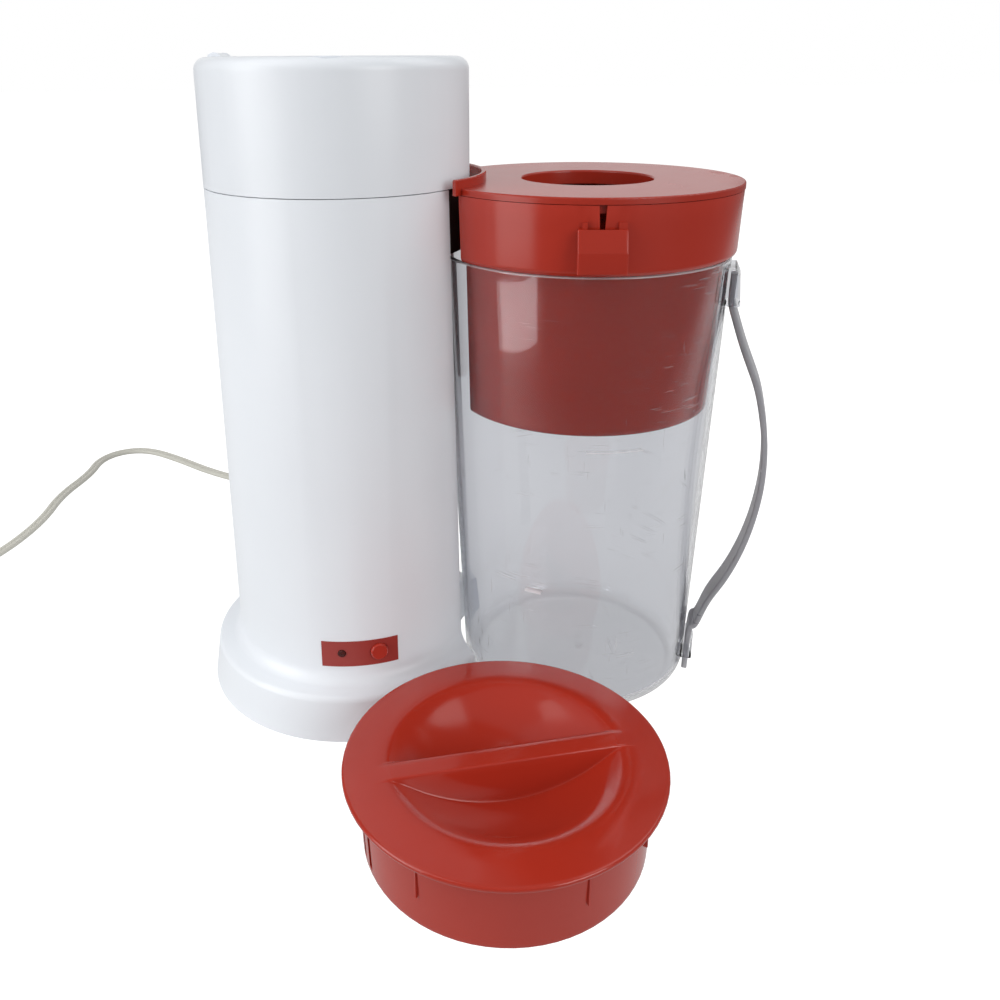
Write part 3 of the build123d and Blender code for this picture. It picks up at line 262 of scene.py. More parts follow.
def frosted(name, colour, gloss, transmission):
    """Half-clear flexible plastic, with flow lines along it."""
    finish = Finish(name)
    flow = finish.noise(60.0, 3.0, 0.5, (1.0, 1.0, 6.0))
    cloud = finish.noise(24.0, 3.0)
    tint = finish.blend(cloud, darker(colour, 0.92), colour)
    tint = finish.blend(finish.edges() * 0.35, tint, (0.95, 0.95, 0.96))
    normal = finish.bump(flow, 0.12, 0.0003)
    return finish.surface(
        Base_Color=tint, Roughness=gloss + 0.12 * (flow - 0.5), Normal=normal,
        Transmission_Weight=transmission, IOR=1.3,
    )


def dark_jewel(colour):
    """Deep red indicator lens with fine facets."""
    finish = Finish("lens_red")
    facets = finish.node("ShaderNodeTexVoronoi", None, {"Vector": finish.place, "Scale": 1500.0})
    tint = finish.blend(finish.step(facets, 0.1, 0.5), colour, darker(colour, 0.35))
    normal = finish.bump(facets, 0.6, 0.0004)
    return finish.surface(
        Base_Color=tint, Roughness=0.22 + 0.1 * facets, Normal=normal, Specular_IOR_Level=0.25
    )


SWEEP_MIDDLE = (0.0, 1.0, 0.0)
SWEEP_EDGE = (1.18, 1.42)
GLOW_SHARE = 0.62


def paper_floor(colour, glow, under):
    """Matt pale sweep with a faint tooth, which shows white and gives less light away from its middle."""
    finish = Finish("floor")
    tooth = finish.noise(420.0, 3.0, 0.6)
    tint = finish.blend(tooth, darker(colour, 0.99), colour)
    span = {0: finish.place, 1: SWEEP_MIDDLE}
    away = finish.node("ShaderNodeVectorMath", {"operation": "DISTANCE"}, span, "Value")
    dim = finish.step(away, *SWEEP_EDGE)
    tint = finish.blend(dim, tint, darker(colour, 0.45))
    lit = finish.blend(dim, WHITE, darker(WHITE, 0.22))
    paper = finish.shader(
        Base_Color=tint, Roughness=0.85 + 0.1 * (tooth - 0.5), Normal=finish.bump(tooth, 0.05, 0.0002),
        Emission_Color=lit, Emission_Strength=under,
    )
    light = finish.node("ShaderNodeEmission", None, {"Strength": glow})
    seen = finish.node("ShaderNodeLightPath", outlet="Is Camera Ray")
    return finish.output(finish.node("ShaderNodeMixShader", None, {0: seen * GLOW_SHARE, 1: paper, 2: light}))


def dress(material, *names):
    """Gives CAD nodes their finish."""
    for name in names:
        mesh = nodes[name].data
        mesh.materials.clear()
        mesh.materials.append(material)


# ---------------------------------------------------------------- mesh building


def rounded_outline(width, height, corner, per_corner=6):
    """Points of a rounded rectangle about the origin, counter-clockwise."""
    points = []
    for quarter, (across, upwards) in enumerate([(1, 1), (-1, 1), (-1, -1), (1, -1)]):
        centre = (across * (width / 2 - corner), upwards * (height / 2 - corner))
        for step in range(per_corner + 1):
            angle = math.radians(90 * (quarter + step / per_corner))
            points.append((centre[0] + corner * math.cos(angle), centre[1] + corner * math.sin(angle)))
    return points


def two_wire_outline(width, thickness, per_lobe=12):
    """Outline of a flat two-wire lead, with a groove between its halves."""
    radius = thickness / 2
    offset = width / 2 - radius
    waist = math.radians(38.0)
    points = []
    for side in (0, 1):
        for step in range(per_lobe + 1):
            angle = -math.pi + waist + (2 * math.pi - 2 * waist) * step / per_lobe + side * math.pi
            middle = offset if side == 0 else -offset
            points.append((middle + radius * math.cos(angle), radius * math.sin(angle)))
    return points


def loft(bm, rings):
    """Skins closed rings of points, in order, and closes both ends."""
    rows = [[bm.verts.new(point) for point in ring] for ring in rings]
    count = len(rows[0])
    for before, after in zip(rows, rows[1:]):
        for i in range(count):
            j = (i + 1) % count
            bm.faces.new((before[i], before[j], after[j], after[i]))
    bm.faces.new(list(reversed(rows[0])))
    bm.faces.new(rows[-1])


def as_piece(bm, name, material, body, replaced):
    """Finishes a mesh as a shown piece that rides on a body and stands for a CAD node."""
    bmesh.ops.recalc_face_normals(bm, faces=bm.faces)
    mesh = bpy.data.meshes.new(name)
    bm.to_mesh(mesh)
    bm.free()
    for face in mesh.polygons:
        face.use_smooth = True
    mesh.set_sharp_from_angle(angle=SMOOTH_ANGLE)
    mesh.materials.append(material)
    piece = bpy.data.objects.new(name, mesh)
    bpy.context.scene.collection.objects.link(piece)
    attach(piece, body)
    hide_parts(replaced)
    return piece


def along(origin, heading, sections):
    """Rings of outlines set square to a heading: each section is a distance and an outline."""
    heading = heading.normalized()
    sideways = heading.cross(Vector((0, 0, 1))).normalized()
    upwards = sideways.cross(heading)
    rings = []
    for distance, outline in sections:
        middle = origin + heading * distance
        rings.append([middle + sideways * x + upwards * y for x, y in outline])
    return rings


# ---------------------------------------------------------------- strength tab

TAB_ANGLE = math.radians(-98.0)
TAB_COLUMNS = 12
# distances from the pitcher's axis and heights, in millimetres
TAB_BACK = 77.1
TAB_FACE = 81.2
TAB_TOP_EDGE = 77.6
TAB_LEVELS = (236.9, 246.3, 255.8)
TAB_EDGE = 0.45
# inner and outer distance, width, low and high
STEM = (71.2, 77.8, 1.7, 241.6, 247.6)
VALVE_PLATE = (70.2, 71.6, 10.0, 240.6, 252.1)


def tab_mesh(settings):
    """Finger tab with a sloped top and soft edges, its stem and the valve plate inside the basket."""
    outwards = Vector((math.cos(TAB_ANGLE), math.sin(TAB_ANGLE), 0.0))
    sideways = Vector((-math.sin(TAB_ANGLE), math.cos(TAB_ANGLE), 0.0))
    centre = Vector((*PITCHER_AXIS, 0.0))

    def spot(reach, side, height):
        return centre + (outwards * reach + sideways * side + Vector((0.0, 0.0, height))) * MM

    half = settings.tab_width / MM / 2
    low, shoulder, high = TAB_LEVELS
    rings = []
    for column in range(TAB_COLUMNS + 1):
        side = half * (2 * column / TAB_COLUMNS - 1)
        back = math.sqrt(TAB_BACK**2 - side**2)
        corners = (back, low), (TAB_FACE, low), (TAB_FACE, shoulder), (TAB_TOP_EDGE, high), (back, high)
        rings.append([spot(reach, side, height) for reach, height in corners])
    bm = bmesh.new()
    loft(bm, rings)
    bmesh.ops.recalc_face_normals(bm, faces=bm.faces)
    sharp = [edge for edge in bm.edges if edge.calc_face_angle(0.0) > math.radians(10.0)]
    bmesh.ops.bevel(bm, geom=sharp, offset=TAB_EDGE * MM, segments=3, profile=0.5, affect="EDGES")
    for inner, outer, wide, low, high in (STEM, VALVE_PLATE):
        part = bmesh.new()
        corners = (inner, low), (outer, low), (outer, high), (inner, high)
        sides = (-wide / 2, wide / 2)
        loft(part, [[spot(reach, side, height) for reach, height in corners] for side in sides])
        bm = carve(bm, part, "UNION")
    return bm


# ---------------------------------------------------------------- serving lid

LID_COLUMNS = 56
CROWN_SLOPE = 2.3 / 19.44
SKIRT_FLARE = 1.6 / 34.7
FLANGE_UNDER = 34.7
FLANGE_TOP = 37.1
FLANGE_EDGE = 0.96
BAR_JOIN = 0.9
# radius of the bar's front and back edges, and width of the blend into the bowl, in millimetres
TOP_ROUNDS = (0.9, 6.0, 5.0)
UNDER_ROUNDS = (0.5, 0.5, 0.4)
# rings outside the bowl: radii on the flange's top, heights up the skirt, and under the flange
TOP_RADII = (50.6, 51.4, 52.6, 55.0, 60.0, 65.0, 68.6)
OUTER_HEIGHTS = (33.6, 30.0, 24.0, 18.0, 12.0, 6.0, 2.0, 0.5)
INNER_HEIGHTS = (0.5, 6.0, 14.0, 22.0, 29.0, 31.8)
INSIDE_TOP = ((61.5, 32.5), (58.0, 33.9), (54.0, 35.5), (51.2, 36.62))
POUR_SLOTS = 6
POUR_START = -161.5
POUR_PITCH = 7.0
# inner and outer radius, width, low and high
POUR_SLOT = (57.0, 67.0, 3.2, 3.0, 29.0)
RIB = (62.6, 64.25, 1.0, 14.7, 34.9)
RIB_ANGLES = (-131.5, -68.0, -32.0, 20.0, 75.0, 130.0)


class LidFace:
    """One face of the lid's dish: a spherical bowl with a grip bar across it.  Millimetres."""

    def __init__(self, settings, extra, front_round, back_round, join):
        self.rim = settings.bowl_radius / MM
        self.draft = math.tan(settings.bar_draft)
        depth = settings.bowl_depth / MM
        sphere = (self.rim**2 + depth**2) / (2 * depth)
        crown = settings.crown_height / MM
        self.sphere = sphere + extra
        self.sphere_centre = crown - depth + sphere
        self.cap = crown - extra
        self.half = settings.bar_width / MM / 2 - extra + extra * self.draft
        self.rounds = {-1: front_round, 1: back_round}
        self.join = join
        self.turn = settings.bar_angle

    def bowl(self, radius):
        return self.sphere_centre - math.sqrt(self.sphere**2 - min(radius, self.sphere * 0.99) ** 2)

    def flange(self, radius):
        return self.cap - max(0.0, radius - self.rim) * CROWN_SLOPE

    def edge_round(self, side):
        """Radius of the bar's edge on one side, the angle it turns through and where it starts."""
        fillet = self.rounds[side]
        lean = math.pi / 2 - math.atan(self.draft)
        return fillet, lean, self.half - fillet * math.tan(lean / 2)

    def bar(self, across):
        """Height of the bar's section at a distance from its middle line."""
        fillet, lean, start = self.edge_round(1 if across > 0 else -1)
        past = abs(across) - start
        if past <= 0:
            return self.cap
        if past < fillet * math.sin(lean):
            return self.cap - fillet + math.sqrt(fillet**2 - past**2)
        return self.cap - (abs(across) - self.half) / self.draft

    def height(self, along_bar, across):
        radius = math.hypot(along_bar, across)
        dish = soft_low(self.bowl(radius), self.flange(radius), self.join)
        bar = self.bar(across) - max(0.0, radius - self.rim) * CROWN_SLOPE
        if abs(across) > self.half:
            bar = soft_high(dish, bar, min(self.join, BAR_JOIN))
        return max(dish, bar)

    def level(self, radius, turn):
        """Height at a radius and a direction in the lid's own frame."""
        return self.height(radius * math.cos(turn - self.turn), radius * math.sin(turn - self.turn))

    def foot(self, share):
        """Distance from the bar's middle line to the foot of its wall, at a share of the bowl's width."""
        across = self.half
        for _ in range(12):
            radius = math.sqrt(share**2 * (self.rim**2 - across**2) + across**2)
            across = self.half + self.draft * (self.cap - min(self.bowl(radius), self.cap))
        return across

    def side_rows(self, share, side):
        """Distances from the bar's middle line, from its top's edge to just before the bowl's rim."""
        fillet, lean, start = self.edge_round(side)
        foot = self.foot(share)
        bend = min(start + fillet * math.sin(lean), foot - 0.06)
        foot = max(foot, bend + 0.06)
        rows = [start + (bend - start) * step / 5 for step in range(6)]
        rows += [bend + (foot - bend) * part for part in (0.2, 0.4, 0.6, 0.8, 0.92, 1.0)]
        near = [foot + (self.rim - foot) * part for part in (0.006, 0.014, 0.028, 0.05)]
        rows += near
        first = math.asin(near[-1] / self.rim)
        for step in range(1, 16):
            angle = first + (math.pi / 2 - first) * step / 16
            rows.append(self.rim * math.sin(angle))
        return rows

    def grid(self):
        """Rows of points from the front of the bowl to its back, between two end points."""
        columns = [math.sin(math.pi / 2 * (2 * i / LID_COLUMNS - 1)) for i in range(LID_COLUMNS + 1)]
        strips = []
        for share in columns:
            front = [-across for across in reversed(self.side_rows(share, -1))]
            back = self.side_rows(share, 1)
            middle = [front[-1] + (back[0] - front[-1]) * part for part in (0.25, 0.5, 0.75)]
            strips.append([self.point(share, across) for across in front + middle + back])
        rows = [list(row) for row in zip(*strips)]
        return self.place(0.0, -self.rim), rows, self.place(0.0, self.rim)

    def point(self, share, across):
        return self.place(share * math.sqrt(max(self.rim**2 - across**2, 0.0)), across)

    def place(self, along_bar, across):
        """Point of the dish in the lid's own frame, in millimetres."""
        cos, sin = math.cos(self.turn), math.sin(self.turn)
        height = self.height(along_bar, across)
        return (along_bar * cos - across * sin, along_bar * sin + across * cos, height)


def soft_low(first, second, width):
    """Lower of two heights, rounded where they meet."""
    near = max(width - abs(first - second), 0.0) / width
    return min(first, second) - near * near * width / 4


def soft_high(first, second, width):
    return -soft_low(-first, -second, width)


def lid_profile(settings):
    """Rings from the bowl's rim, round the outside and up the inside: radius and height in millimetres."""
    skirt = settings.skirt_radius / MM
    wall = settings.wall / MM
    flange = settings.flange_radius / MM
    under, top, edge = FLANGE_UNDER, FLANGE_TOP, FLANGE_EDGE
    rings = [(radius, None) for radius in TOP_RADII]
    for middle, angles in ((top - edge, (90, 60, 30, 0)), (under + edge, (0, -30, -60, -90))):
        for turn in map(math.radians, angles):
            rings.append((flange - edge + edge * math.cos(turn), middle + edge * math.sin(turn)))
    rings += [(67.0, under), (64.9, under), (64.3, under - 0.05), (64.05, under - 0.35)]
    rings += [(skirt + SKIRT_FLARE * height, height) for height in OUTER_HEIGHTS]
    rings += [(skirt - 0.1, 0.12), (skirt - 0.4, 0.0), (skirt - wall + 0.4, 0.0), (skirt - wall + 0.1, 0.12)]
    rings += [(skirt - wall + SKIRT_FLARE * height, height) for height in INNER_HEIGHTS]
    return rings + list(INSIDE_TOP)


def lid_shell(settings):
    """Closed mesh of the serving lid, without its pour slots and ribs."""
    top = LidFace(settings, 0.0, *TOP_ROUNDS)
    under = LidFace(settings, settings.wall / MM, *UNDER_ROUNDS)
    bm = bmesh.new()
    centre = Vector((settings.place[0], settings.place[1], 0.0))

    def vertex(point):
        return bm.verts.new(centre + Vector(point) * MM)

    borders = []
    for face, flipped in ((top, False), (under, True)):
        front, rows, back = face.grid()
        first, last = vertex(front), vertex(back)
        made = [[vertex(point) for point in row] for row in rows]
        quads = []
        for before, after in zip(made, made[1:]):
            quads += [(before[i], before[i + 1], after[i + 1], after[i]) for i in range(LID_COLUMNS)]
        quads += [(first, made[0][i + 1], made[0][i]) for i in range(LID_COLUMNS)]
        quads += [(last, made[-1][i], made[-1][i + 1]) for i in range(LID_COLUMNS)]
        for quad in quads:
            bm.faces.new(tuple(reversed(quad)) if flipped else quad)
        right = [(row[-1], points[-1]) for row, points in zip(made, rows)]
        left = [(row[0], points[0]) for row, points in zip(made, rows)]
        borders.append([(first, front)] + right + [(last, back)] + left[::-1])
    profile = lid_profile(settings)
    count = len(borders[0])
    angles = []
    for border in borders:
        turns = [math.atan2(point[1], point[0]) for _, point in border]
        for i in range(1, count):
            while turns[i] < turns[i - 1] - 1e-9:
                turns[i] += 2 * math.pi
        angles.append(turns)
    previous = [pair[0] for pair in borders[0]]
    for step, (radius, height) in enumerate(profile):
        share = (step + 1) / (len(profile) + 1)
        turns = [a + (b - a) * share for a, b in zip(*angles)]
        levels = [height if height is not None else top.level(radius, turn) for turn in turns]
        spots = [(radius * math.cos(turn), radius * math.sin(turn)) for turn in turns]
        ring = [vertex((*spot, level)) for spot, level in zip(spots, levels)]
        join_rings(bm, previous, ring)
        previous = ring
    join_rings(bm, previous, [pair[0] for pair in borders[1]])
    bmesh.ops.recalc_face_normals(bm, faces=bm.faces)
    return bm


def join_rings(bm, before, after):
    for i in range(len(before)):
        j = (i + 1) % len(before)
        bm.faces.new((before[i], after[i], after[j], before[j]))


def radial_block(bm, centre, angle, inner, outer, width, low, high):
    """Upright block square to a radius of the lid, in millimetres."""
    turn = math.radians(angle)
    outwards = Vector((math.cos(turn), math.sin(turn), 0.0))
    sideways = Vector((-math.sin(turn), math.cos(turn), 0.0))
    rings = []
    for height in (low, high):
        ring = []
        for reach, side in ((inner, -1), (outer, -1), (outer, 1), (inner, 1)):
            corner = outwards * reach + sideways * (side * width / 2) + Vector((0, 0, height))
            ring.append(centre + corner * MM)
        rings.append(ring)
    loft(bm, rings)


def carve(bm, tool_bm, operation):
    """Joins or cuts a closed mesh with another and gives back the result."""
    pair = []
    for part, name in ((bm, "blank"), (tool_bm, "tool")):
        bmesh.ops.recalc_face_normals(part, faces=part.faces)
        mesh = bpy.data.meshes.new(name)
        part.to_mesh(mesh)
        part.free()
        piece = bpy.data.objects.new(name, mesh)
        bpy.context.scene.collection.objects.link(piece)
        pair.append(piece)
    blank, tool = pair
    change = blank.modifiers.new("carve", "BOOLEAN")
    change.operation = operation
    change.solver = "EXACT"
    change.object = tool
    graph = bpy.context.evaluated_depsgraph_get()
    result = bpy.data.meshes.new_from_object(blank.evaluated_get(graph))
    made = bmesh.new()
    made.from_mesh(result)
    for piece in pair:
        mesh = piece.data
        bpy.data.objects.remove(piece)
        bpy.data.meshes.remove(mesh)
    bpy.data.meshes.remove(result)
    return made


def lid_mesh(settings):
    """Serving lid with its pour slots and the ribs under its flange."""
    centre = Vector((settings.place[0], settings.place[1], 0.0))
    shell = lid_shell(settings)
    slots = bmesh.new()
    for step in range(POUR_SLOTS):
        radial_block(slots, centre, POUR_START - POUR_PITCH * step, *POUR_SLOT)
    ribs = bmesh.new()
    for angle in RIB_ANGLES:
        radial_block(ribs, centre, angle, *RIB)
    return carve(carve(shell, slots, "DIFFERENCE"), ribs, "UNION")


# ---------------------------------------------------------------- settings


def colour_setting(name, description, default):
    return FloatVectorProperty(
        name=name, description=description, default=default, subtype="COLOR", size=3, min=0.0, max=1.0
    )


def number_setting(name, description, default, **kind):
    return FloatProperty(name=name, description=description, default=default, **kind)


def angle_setting(name, description, degrees):
    return number_setting(name, description, math.radians(degrees), subtype="ANGLE")


length_setting = partial(number_setting, unit="LENGTH", min=0.0, precision=4)
share_setting = partial(number_setting, min=0.0, max=1.0, subtype="FACTOR")
power_setting = partial(number_setting, min=0.0, unit="POWER")
strength_setting = partial(number_setting, min=0.0)


class ShellSettings(PropertyGroup):
    """Colours of the tower, its base and its controls."""

    shell: colour_setting("Shell", "White mouldings of the tower", (0.77, 0.80, 0.84))
    strip: colour_setting("Control strip", "Red strip round the controls", (0.26, 0.024, 0.018))
    button: colour_setting("Button", "Push button", (0.40, 0.030, 0.018))
    lens: colour_setting("Lens", "Indicator lens", (0.13, 0.018, 0.013))
    # This dark colour also goes on the spout shroud, a black piece that stands for shade: painted shade.
    dark: colour_setting("Dark parts", "Feet, switch and spout shroud", (0.018, 0.018, 0.017))


class PitcherSettings(PropertyGroup):
    """Look of the pitcher and its strap."""

    wall: colour_setting("Wall", "Clear wall of the pitcher", (0.955, 0.965, 0.995))
    strap: colour_setting("Strap", "Half-clear strap", (0.45, 0.45, 0.48))
    haze: share_setting("Haze", "Milkiness of the clear wall", 0.006)


class BrewSettings(PropertyGroup):
    """Look of the red brewing pieces and the serving lid."""

    red: colour_setting("Red", "Basket, cover, slider and serving lid", (0.40, 0.026, 0.012))
    gloss: share_setting("Roughness", "Roughness of the red pieces", 0.19)
    tab_width: length_setting("Tab width", "Width of the strength tab", 0.0215)


class LidSettings(PropertyGroup):
    """Sizes of the serving lid."""

    place: FloatVectorProperty(
        name="Place", description="Middle of the lid on the table", default=(0.0629, -0.1415), size=2,
        subtype="TRANSLATION", precision=4,
    )
    flange_radius: length_setting("Flange radius", "Radius of the flange", 0.0704)
    skirt_radius: length_setting("Skirt radius", "Radius of the skirt's foot", 0.0624)
    wall: length_setting("Wall", "Thickness of the wall", 0.0023)
    crown_height: length_setting("Crown height", "Height of the bowl's rim", 0.0394)
    bowl_radius: length_setting("Bowl radius", "Radius of the bowl's rim", 0.050)
    bowl_depth: length_setting("Bowl depth", "Depth of the bowl", 0.017)
    bar_width: length_setting("Bar width", "Width of the grip bar's top", 0.0125)
    bar_draft: angle_setting("Bar draft", "Lean of the grip bar's walls", 14.0)
    bar_angle: angle_setting("Bar angle", "Turn of the grip bar", 5.2)


class LeadSettings(PropertyGroup):
    """Sizes and colour of the mains lead."""

    colour: colour_setting("Lead", "Cream lead, strain relief and plug", (0.58, 0.57, 0.51))
    width: length_setting("Width", "Width of the flat two-wire lead", 0.0070)
    thickness: length_setting("Thickness", "Thickness of the lead", 0.0036)
    relief_length: length_setting("Relief length", "Length of the tapered strain relief", 0.030)
    relief_ribs: IntProperty(
        name="Relief ribs", description="Flexing grooves on the relief", default=6, min=1, max=9
    )
    plug_length: length_setting("Plug length", "Length of the plug's body", 0.032)
    plug_width: length_setting("Plug width", "Width of the plug's body", 0.024)
    plug_height: length_setting("Plug height", "Height of the plug's body", 0.012)


class StageSettings(PropertyGroup):
    """Floor, lights and surroundings."""

    floor: colour_setting("Floor", "Pale floor", (0.22, 0.22, 0.22))
    glow: strength_setting("Floor glow", "Light that shows through the sweep", 1.60)
    under: strength_setting("Under light", "Light that the sweep gives the pieces", 0.42)
    key: power_setting("Key light", "Power of the left softbox", 8.4)
    fill: power_setting("Fill light", "Power of the right softbox", 9.5)
    back: power_setting("Back light", "Power of the softbox behind", 5.5)
    top: strength_setting("Top light", "Strength of the overhead light", 0.12)
    surround: strength_setting("Surround", "Even light from all round", 0.50)
    mirrored: strength_setting("Mirrored", "Surroundings as shiny faces show them", 0.26)
    window: power_setting("Window", "Power of the low window at the left", 1.4)
    pane: power_setting("Pane", "Power of the pane the clear wall mirrors", 0.11)
    panes: power_setting("Panes", "Power of each high window", 1.7)


# ---------------------------------------------------------------- operators


class TEAMAKER_OT_tower(Operator):
    """Finish the tower's shells, base, feet, screws and fill lid"""

    bl_idname = "teamaker.tower"
    bl_label = "Tower shells"

    def execute(self, context):
        settings = context.scene.tea_shell
        shell = tuple(settings.shell)
        dress(moulded("tower_shell", shell, 0.30, drift=0.02, wear_and_highlight=0.3, pale=1.1), *TOWER_NODES)
        dress(moulded("base_plate", darker(shell, 0.9), 0.42, drift=0.04), "base_plate")
        dress(moulded("soft_feet", (0.16, 0.16, 0.165), 0.75, peel=500.0), "rubber_feet")
        dress(metal("screw_steel", (0.58, 0.58, 0.60), 0.34, EVEN), "base_screws", "bracket_screws")
        dress(metal("pin_steel", (0.66, 0.66, 0.68), 0.22, (1.0, 8.0, 1.0)), "hinge_pin")
        return {"FINISHED"}


class TEAMAKER_OT_controls(Operator):
    """Finish the control strip, button, indicator and switch"""

    bl_idname = "teamaker.controls"
    bl_label = "Controls"

    def execute(self, context):
        settings = context.scene.tea_shell
        strip = moulded("control_strip", tuple(settings.strip), 0.34, peel=1600.0, wear_and_highlight=0.25, pale=1.7)
        dress(strip, "control_panel")
        dress(moulded("button_red", tuple(settings.button), 0.24, wear_and_highlight=0.0, marks=0.0), "push_button")
        dress(dark_jewel(tuple(settings.lens)), "indicator_lens")
        dress(frosted("lamp_glass", (0.85, 0.55, 0.45), 0.08, 0.9), "indicator_lamp")
        dress(moulded("switch_black", tuple(settings.dark), 0.4), "power_switch")
        return {"FINISHED"}


class TEAMAKER_OT_water_works(Operator):
    """Finish the tank, the heater and what carries water and current inside the tower"""

    bl_idname = "teamaker.water_works"
    bl_label = "Water works"

    def execute(self, context):
        dark = tuple(context.scene.tea_shell.dark)
        dress(moulded("tank_plastic", (0.70, 0.73, 0.74), 0.35), "water_tank")
        dress(metal("heater_aluminium", (0.66, 0.66, 0.65), 0.48, EVEN, 0.2, 0.2), "heater_casting")
        dress(metal("pipe_aluminium", (0.72, 0.72, 0.72), 0.28, (1.0, 1.0, 9.0)), "heater_pipe")
        dress(metal("element_steel", (0.42, 0.38, 0.34), 0.4, EVEN, 0.15, 0.35), "heating_element")
        dress(metal("bracket_steel", (0.60, 0.60, 0.61), 0.33, (9.0, 1.0, 1.0)), "heater_bracket")
        dress(moulded("thermostat_body", (0.09, 0.06, 0.045), 0.45, peel=700.0), "thermostat")
        dress(metal("fuse_metal", (0.70, 0.68, 0.62), 0.3, (1.0, 6.0, 1.0)), "thermal_fuse")
        dress(moulded("wire_white", (0.72, 0.72, 0.70), 0.5, peel=2200.0), "lead_wires")
        dress(frosted("hose_silicone", (0.78, 0.77, 0.73), 0.35, 0.45), "inlet_hose", "riser_hose")
        dress(moulded("valve_ball", (0.55, 0.56, 0.58), 0.18), "check_valve_ball")
        dress(metal("clamp_steel", (0.62, 0.62, 0.63), 0.26, (1.0, 1.0, 7.0)), "hose_clamps")
        dress(moulded("spout_plastic", (0.70, 0.72, 0.75), 0.32), "water_spout")
        # The spout shroud is a black piece that stands for the deep shade in the gap between the tower and
        # the basket: painted shade.
        dress(moulded("shroud_black", dark, 0.42, peel=600.0, wear_and_highlight=0.1), "spout_shroud")
        return {"FINISHED"}


class TEAMAKER_OT_pitcher(Operator):
    """Finish the clear pitcher and its strap"""

    bl_idname = "teamaker.pitcher"
    bl_label = "Pitcher and strap"

    def execute(self, context):
        settings = context.scene.tea_pitcher
        dress(clear_wall(tuple(settings.wall), settings.haze), "pitcher")
        dress(frosted("strap_white", tuple(settings.strap), 0.30, 0.25), "handle_strap")
        return {"FINISHED"}


class TEAMAKER_OT_brewing(Operator):
    """Finish the brew basket, its slider and its cover"""

    bl_idname = "teamaker.brewing"
    bl_label = "Basket, slider and cover"

    def execute(self, context):
        settings = context.scene.tea_brew
        red = tuple(settings.red)
        dress(moulded("basket_red", red, settings.gloss, wear_and_highlight=0.2, pale=1.4), "brew_basket")
        cover_red = moulded("cover_red", darker(red, 0.93), settings.gloss + 0.06, wear_and_highlight=0.2, pale=1.4)
        dress(cover_red, "basket_cover")
        # The tab's edges are painted much paler: partly rubbing, partly a painted highlight along its edges.
        tab_red = moulded("tab_red", darker(red, 0.92), settings.gloss, peel=800.0, wear_and_highlight=0.5, pale=2.2)
        as_piece(tab_mesh(settings), "strength_tab", tab_red, "slider", "strength_slider")
        return {"FINISHED"}


class TEAMAKER_OT_serving_lid(Operator):
    """Build the dished serving lid with its grip bar, pour slots and ribs"""

    bl_idname = "teamaker.serving_lid"
    bl_label = "Serving lid"

    def execute(self, context):
        settings = context.scene.tea_brew
        red = tuple(settings.red)
        gloss = settings.gloss - 0.06
        finish = moulded("serving_red", darker(red, 0.92), gloss, wear_and_highlight=0.12, pale=1.3, marks=0.35)
        lid = as_piece(
            lid_mesh(context.scene.tea_lid), "dished_lid", finish, "serving_lid", "serving_lid"
        )
        if len(lid.data.polygons) < LID_COLUMNS * LID_COLUMNS:
            raise RuntimeError("the serving lid lost its dish")
        return {"FINISHED"}


# route of the lead from its strain relief to its plug, in metres
LEAD_ROUTE = [
    (-0.007659, 0.109532, 0.0070),
    (-0.008845, 0.126491, 0.0070),
    (-0.015, 0.152, 0.0036),
    (-0.032, 0.184, 0.0021),
    (-0.058, 0.216, 0.0021),
    (-0.088, 0.243, 0.0021),
    (-0.121, 0.267, 0.0021),
    (-0.152, 0.298, 0.0021),
    (-0.180, 0.321, 0.0021),
    (-0.203, 0.321, 0.0021),
    (-0.218, 0.304, 0.0021),
    (-0.219, 0.274, 0.0021),
    (-0.231, 0.234, 0.0021),
    (-0.232, 0.194, 0.0021),
    (-0.241, 0.156, 0.0021),
    (-0.256, 0.120, 0.0034),
    (-0.262, 0.084, 0.0060),
    (-0.272, 0.052, 0.0060),
]


def lead_line():
    """Points read from the lead's own spline, from the relief to the plug."""
    curve = bpy.data.curves.new("lead_line", "CURVE")
    curve.dimensions = "3D"
    spline = curve.splines.new("NURBS")
    spline.points.add(len(LEAD_ROUTE) - 1)
    for point, place in zip(spline.points, LEAD_ROUTE):
        point.co = (*place, 1.0)
    spline.order_u = 3
    spline.use_endpoint_u = True
    spline.resolution_u = 12
    guide = bpy.data.objects.new("lead_line", curve)
    line = bpy.data.meshes.new_from_object(guide)
    points = [vertex.co.copy() for vertex in line.vertices]
    bpy.data.objects.remove(guide)
    bpy.data.curves.remove(curve)
    bpy.data.meshes.remove(line)
    return points


def lead_mesh(points, width, thickness):
    """Flat two-wire lead along a line, with its flat side level."""
    outline = two_wire_outline(width, thickness)
    bm = bmesh.new()
    rings = []
    for place, (before, after) in zip(points, zip([points[0]] + points[:-1], points[1:] + [points[-1]])):
        rings.extend(along(place, after - before, [(0.0, outline)]))
    loft(bm, rings)
    return bm


# width and height of the relief where it leaves the shell and at its tip, in metres
RELIEF_BASE = (0.011, 0.0084)
RELIEF_TIP = (0.0086, 0.0052)
# distance and diameter of the rings of the flange and neck that the shell holds
RELIEF_HOLD = ((-0.0068, 0.0120), (-0.0053, 0.0120), (-0.0053, 0.0084), (0.0, 0.0084))
# share of the length before the first rib, share that the ribs take, and each rib's steps with their depth
RIBS_START = 0.16
RIBS_SPAN = 0.70
RIB_STEPS = ((0.0, 0.0), (0.30, 0.0), (0.42, 0.0006), (0.82, 0.0006), (0.94, 0.0))
RELIEF_END = ((0.97, 0.0), (1.0, 0.0004))


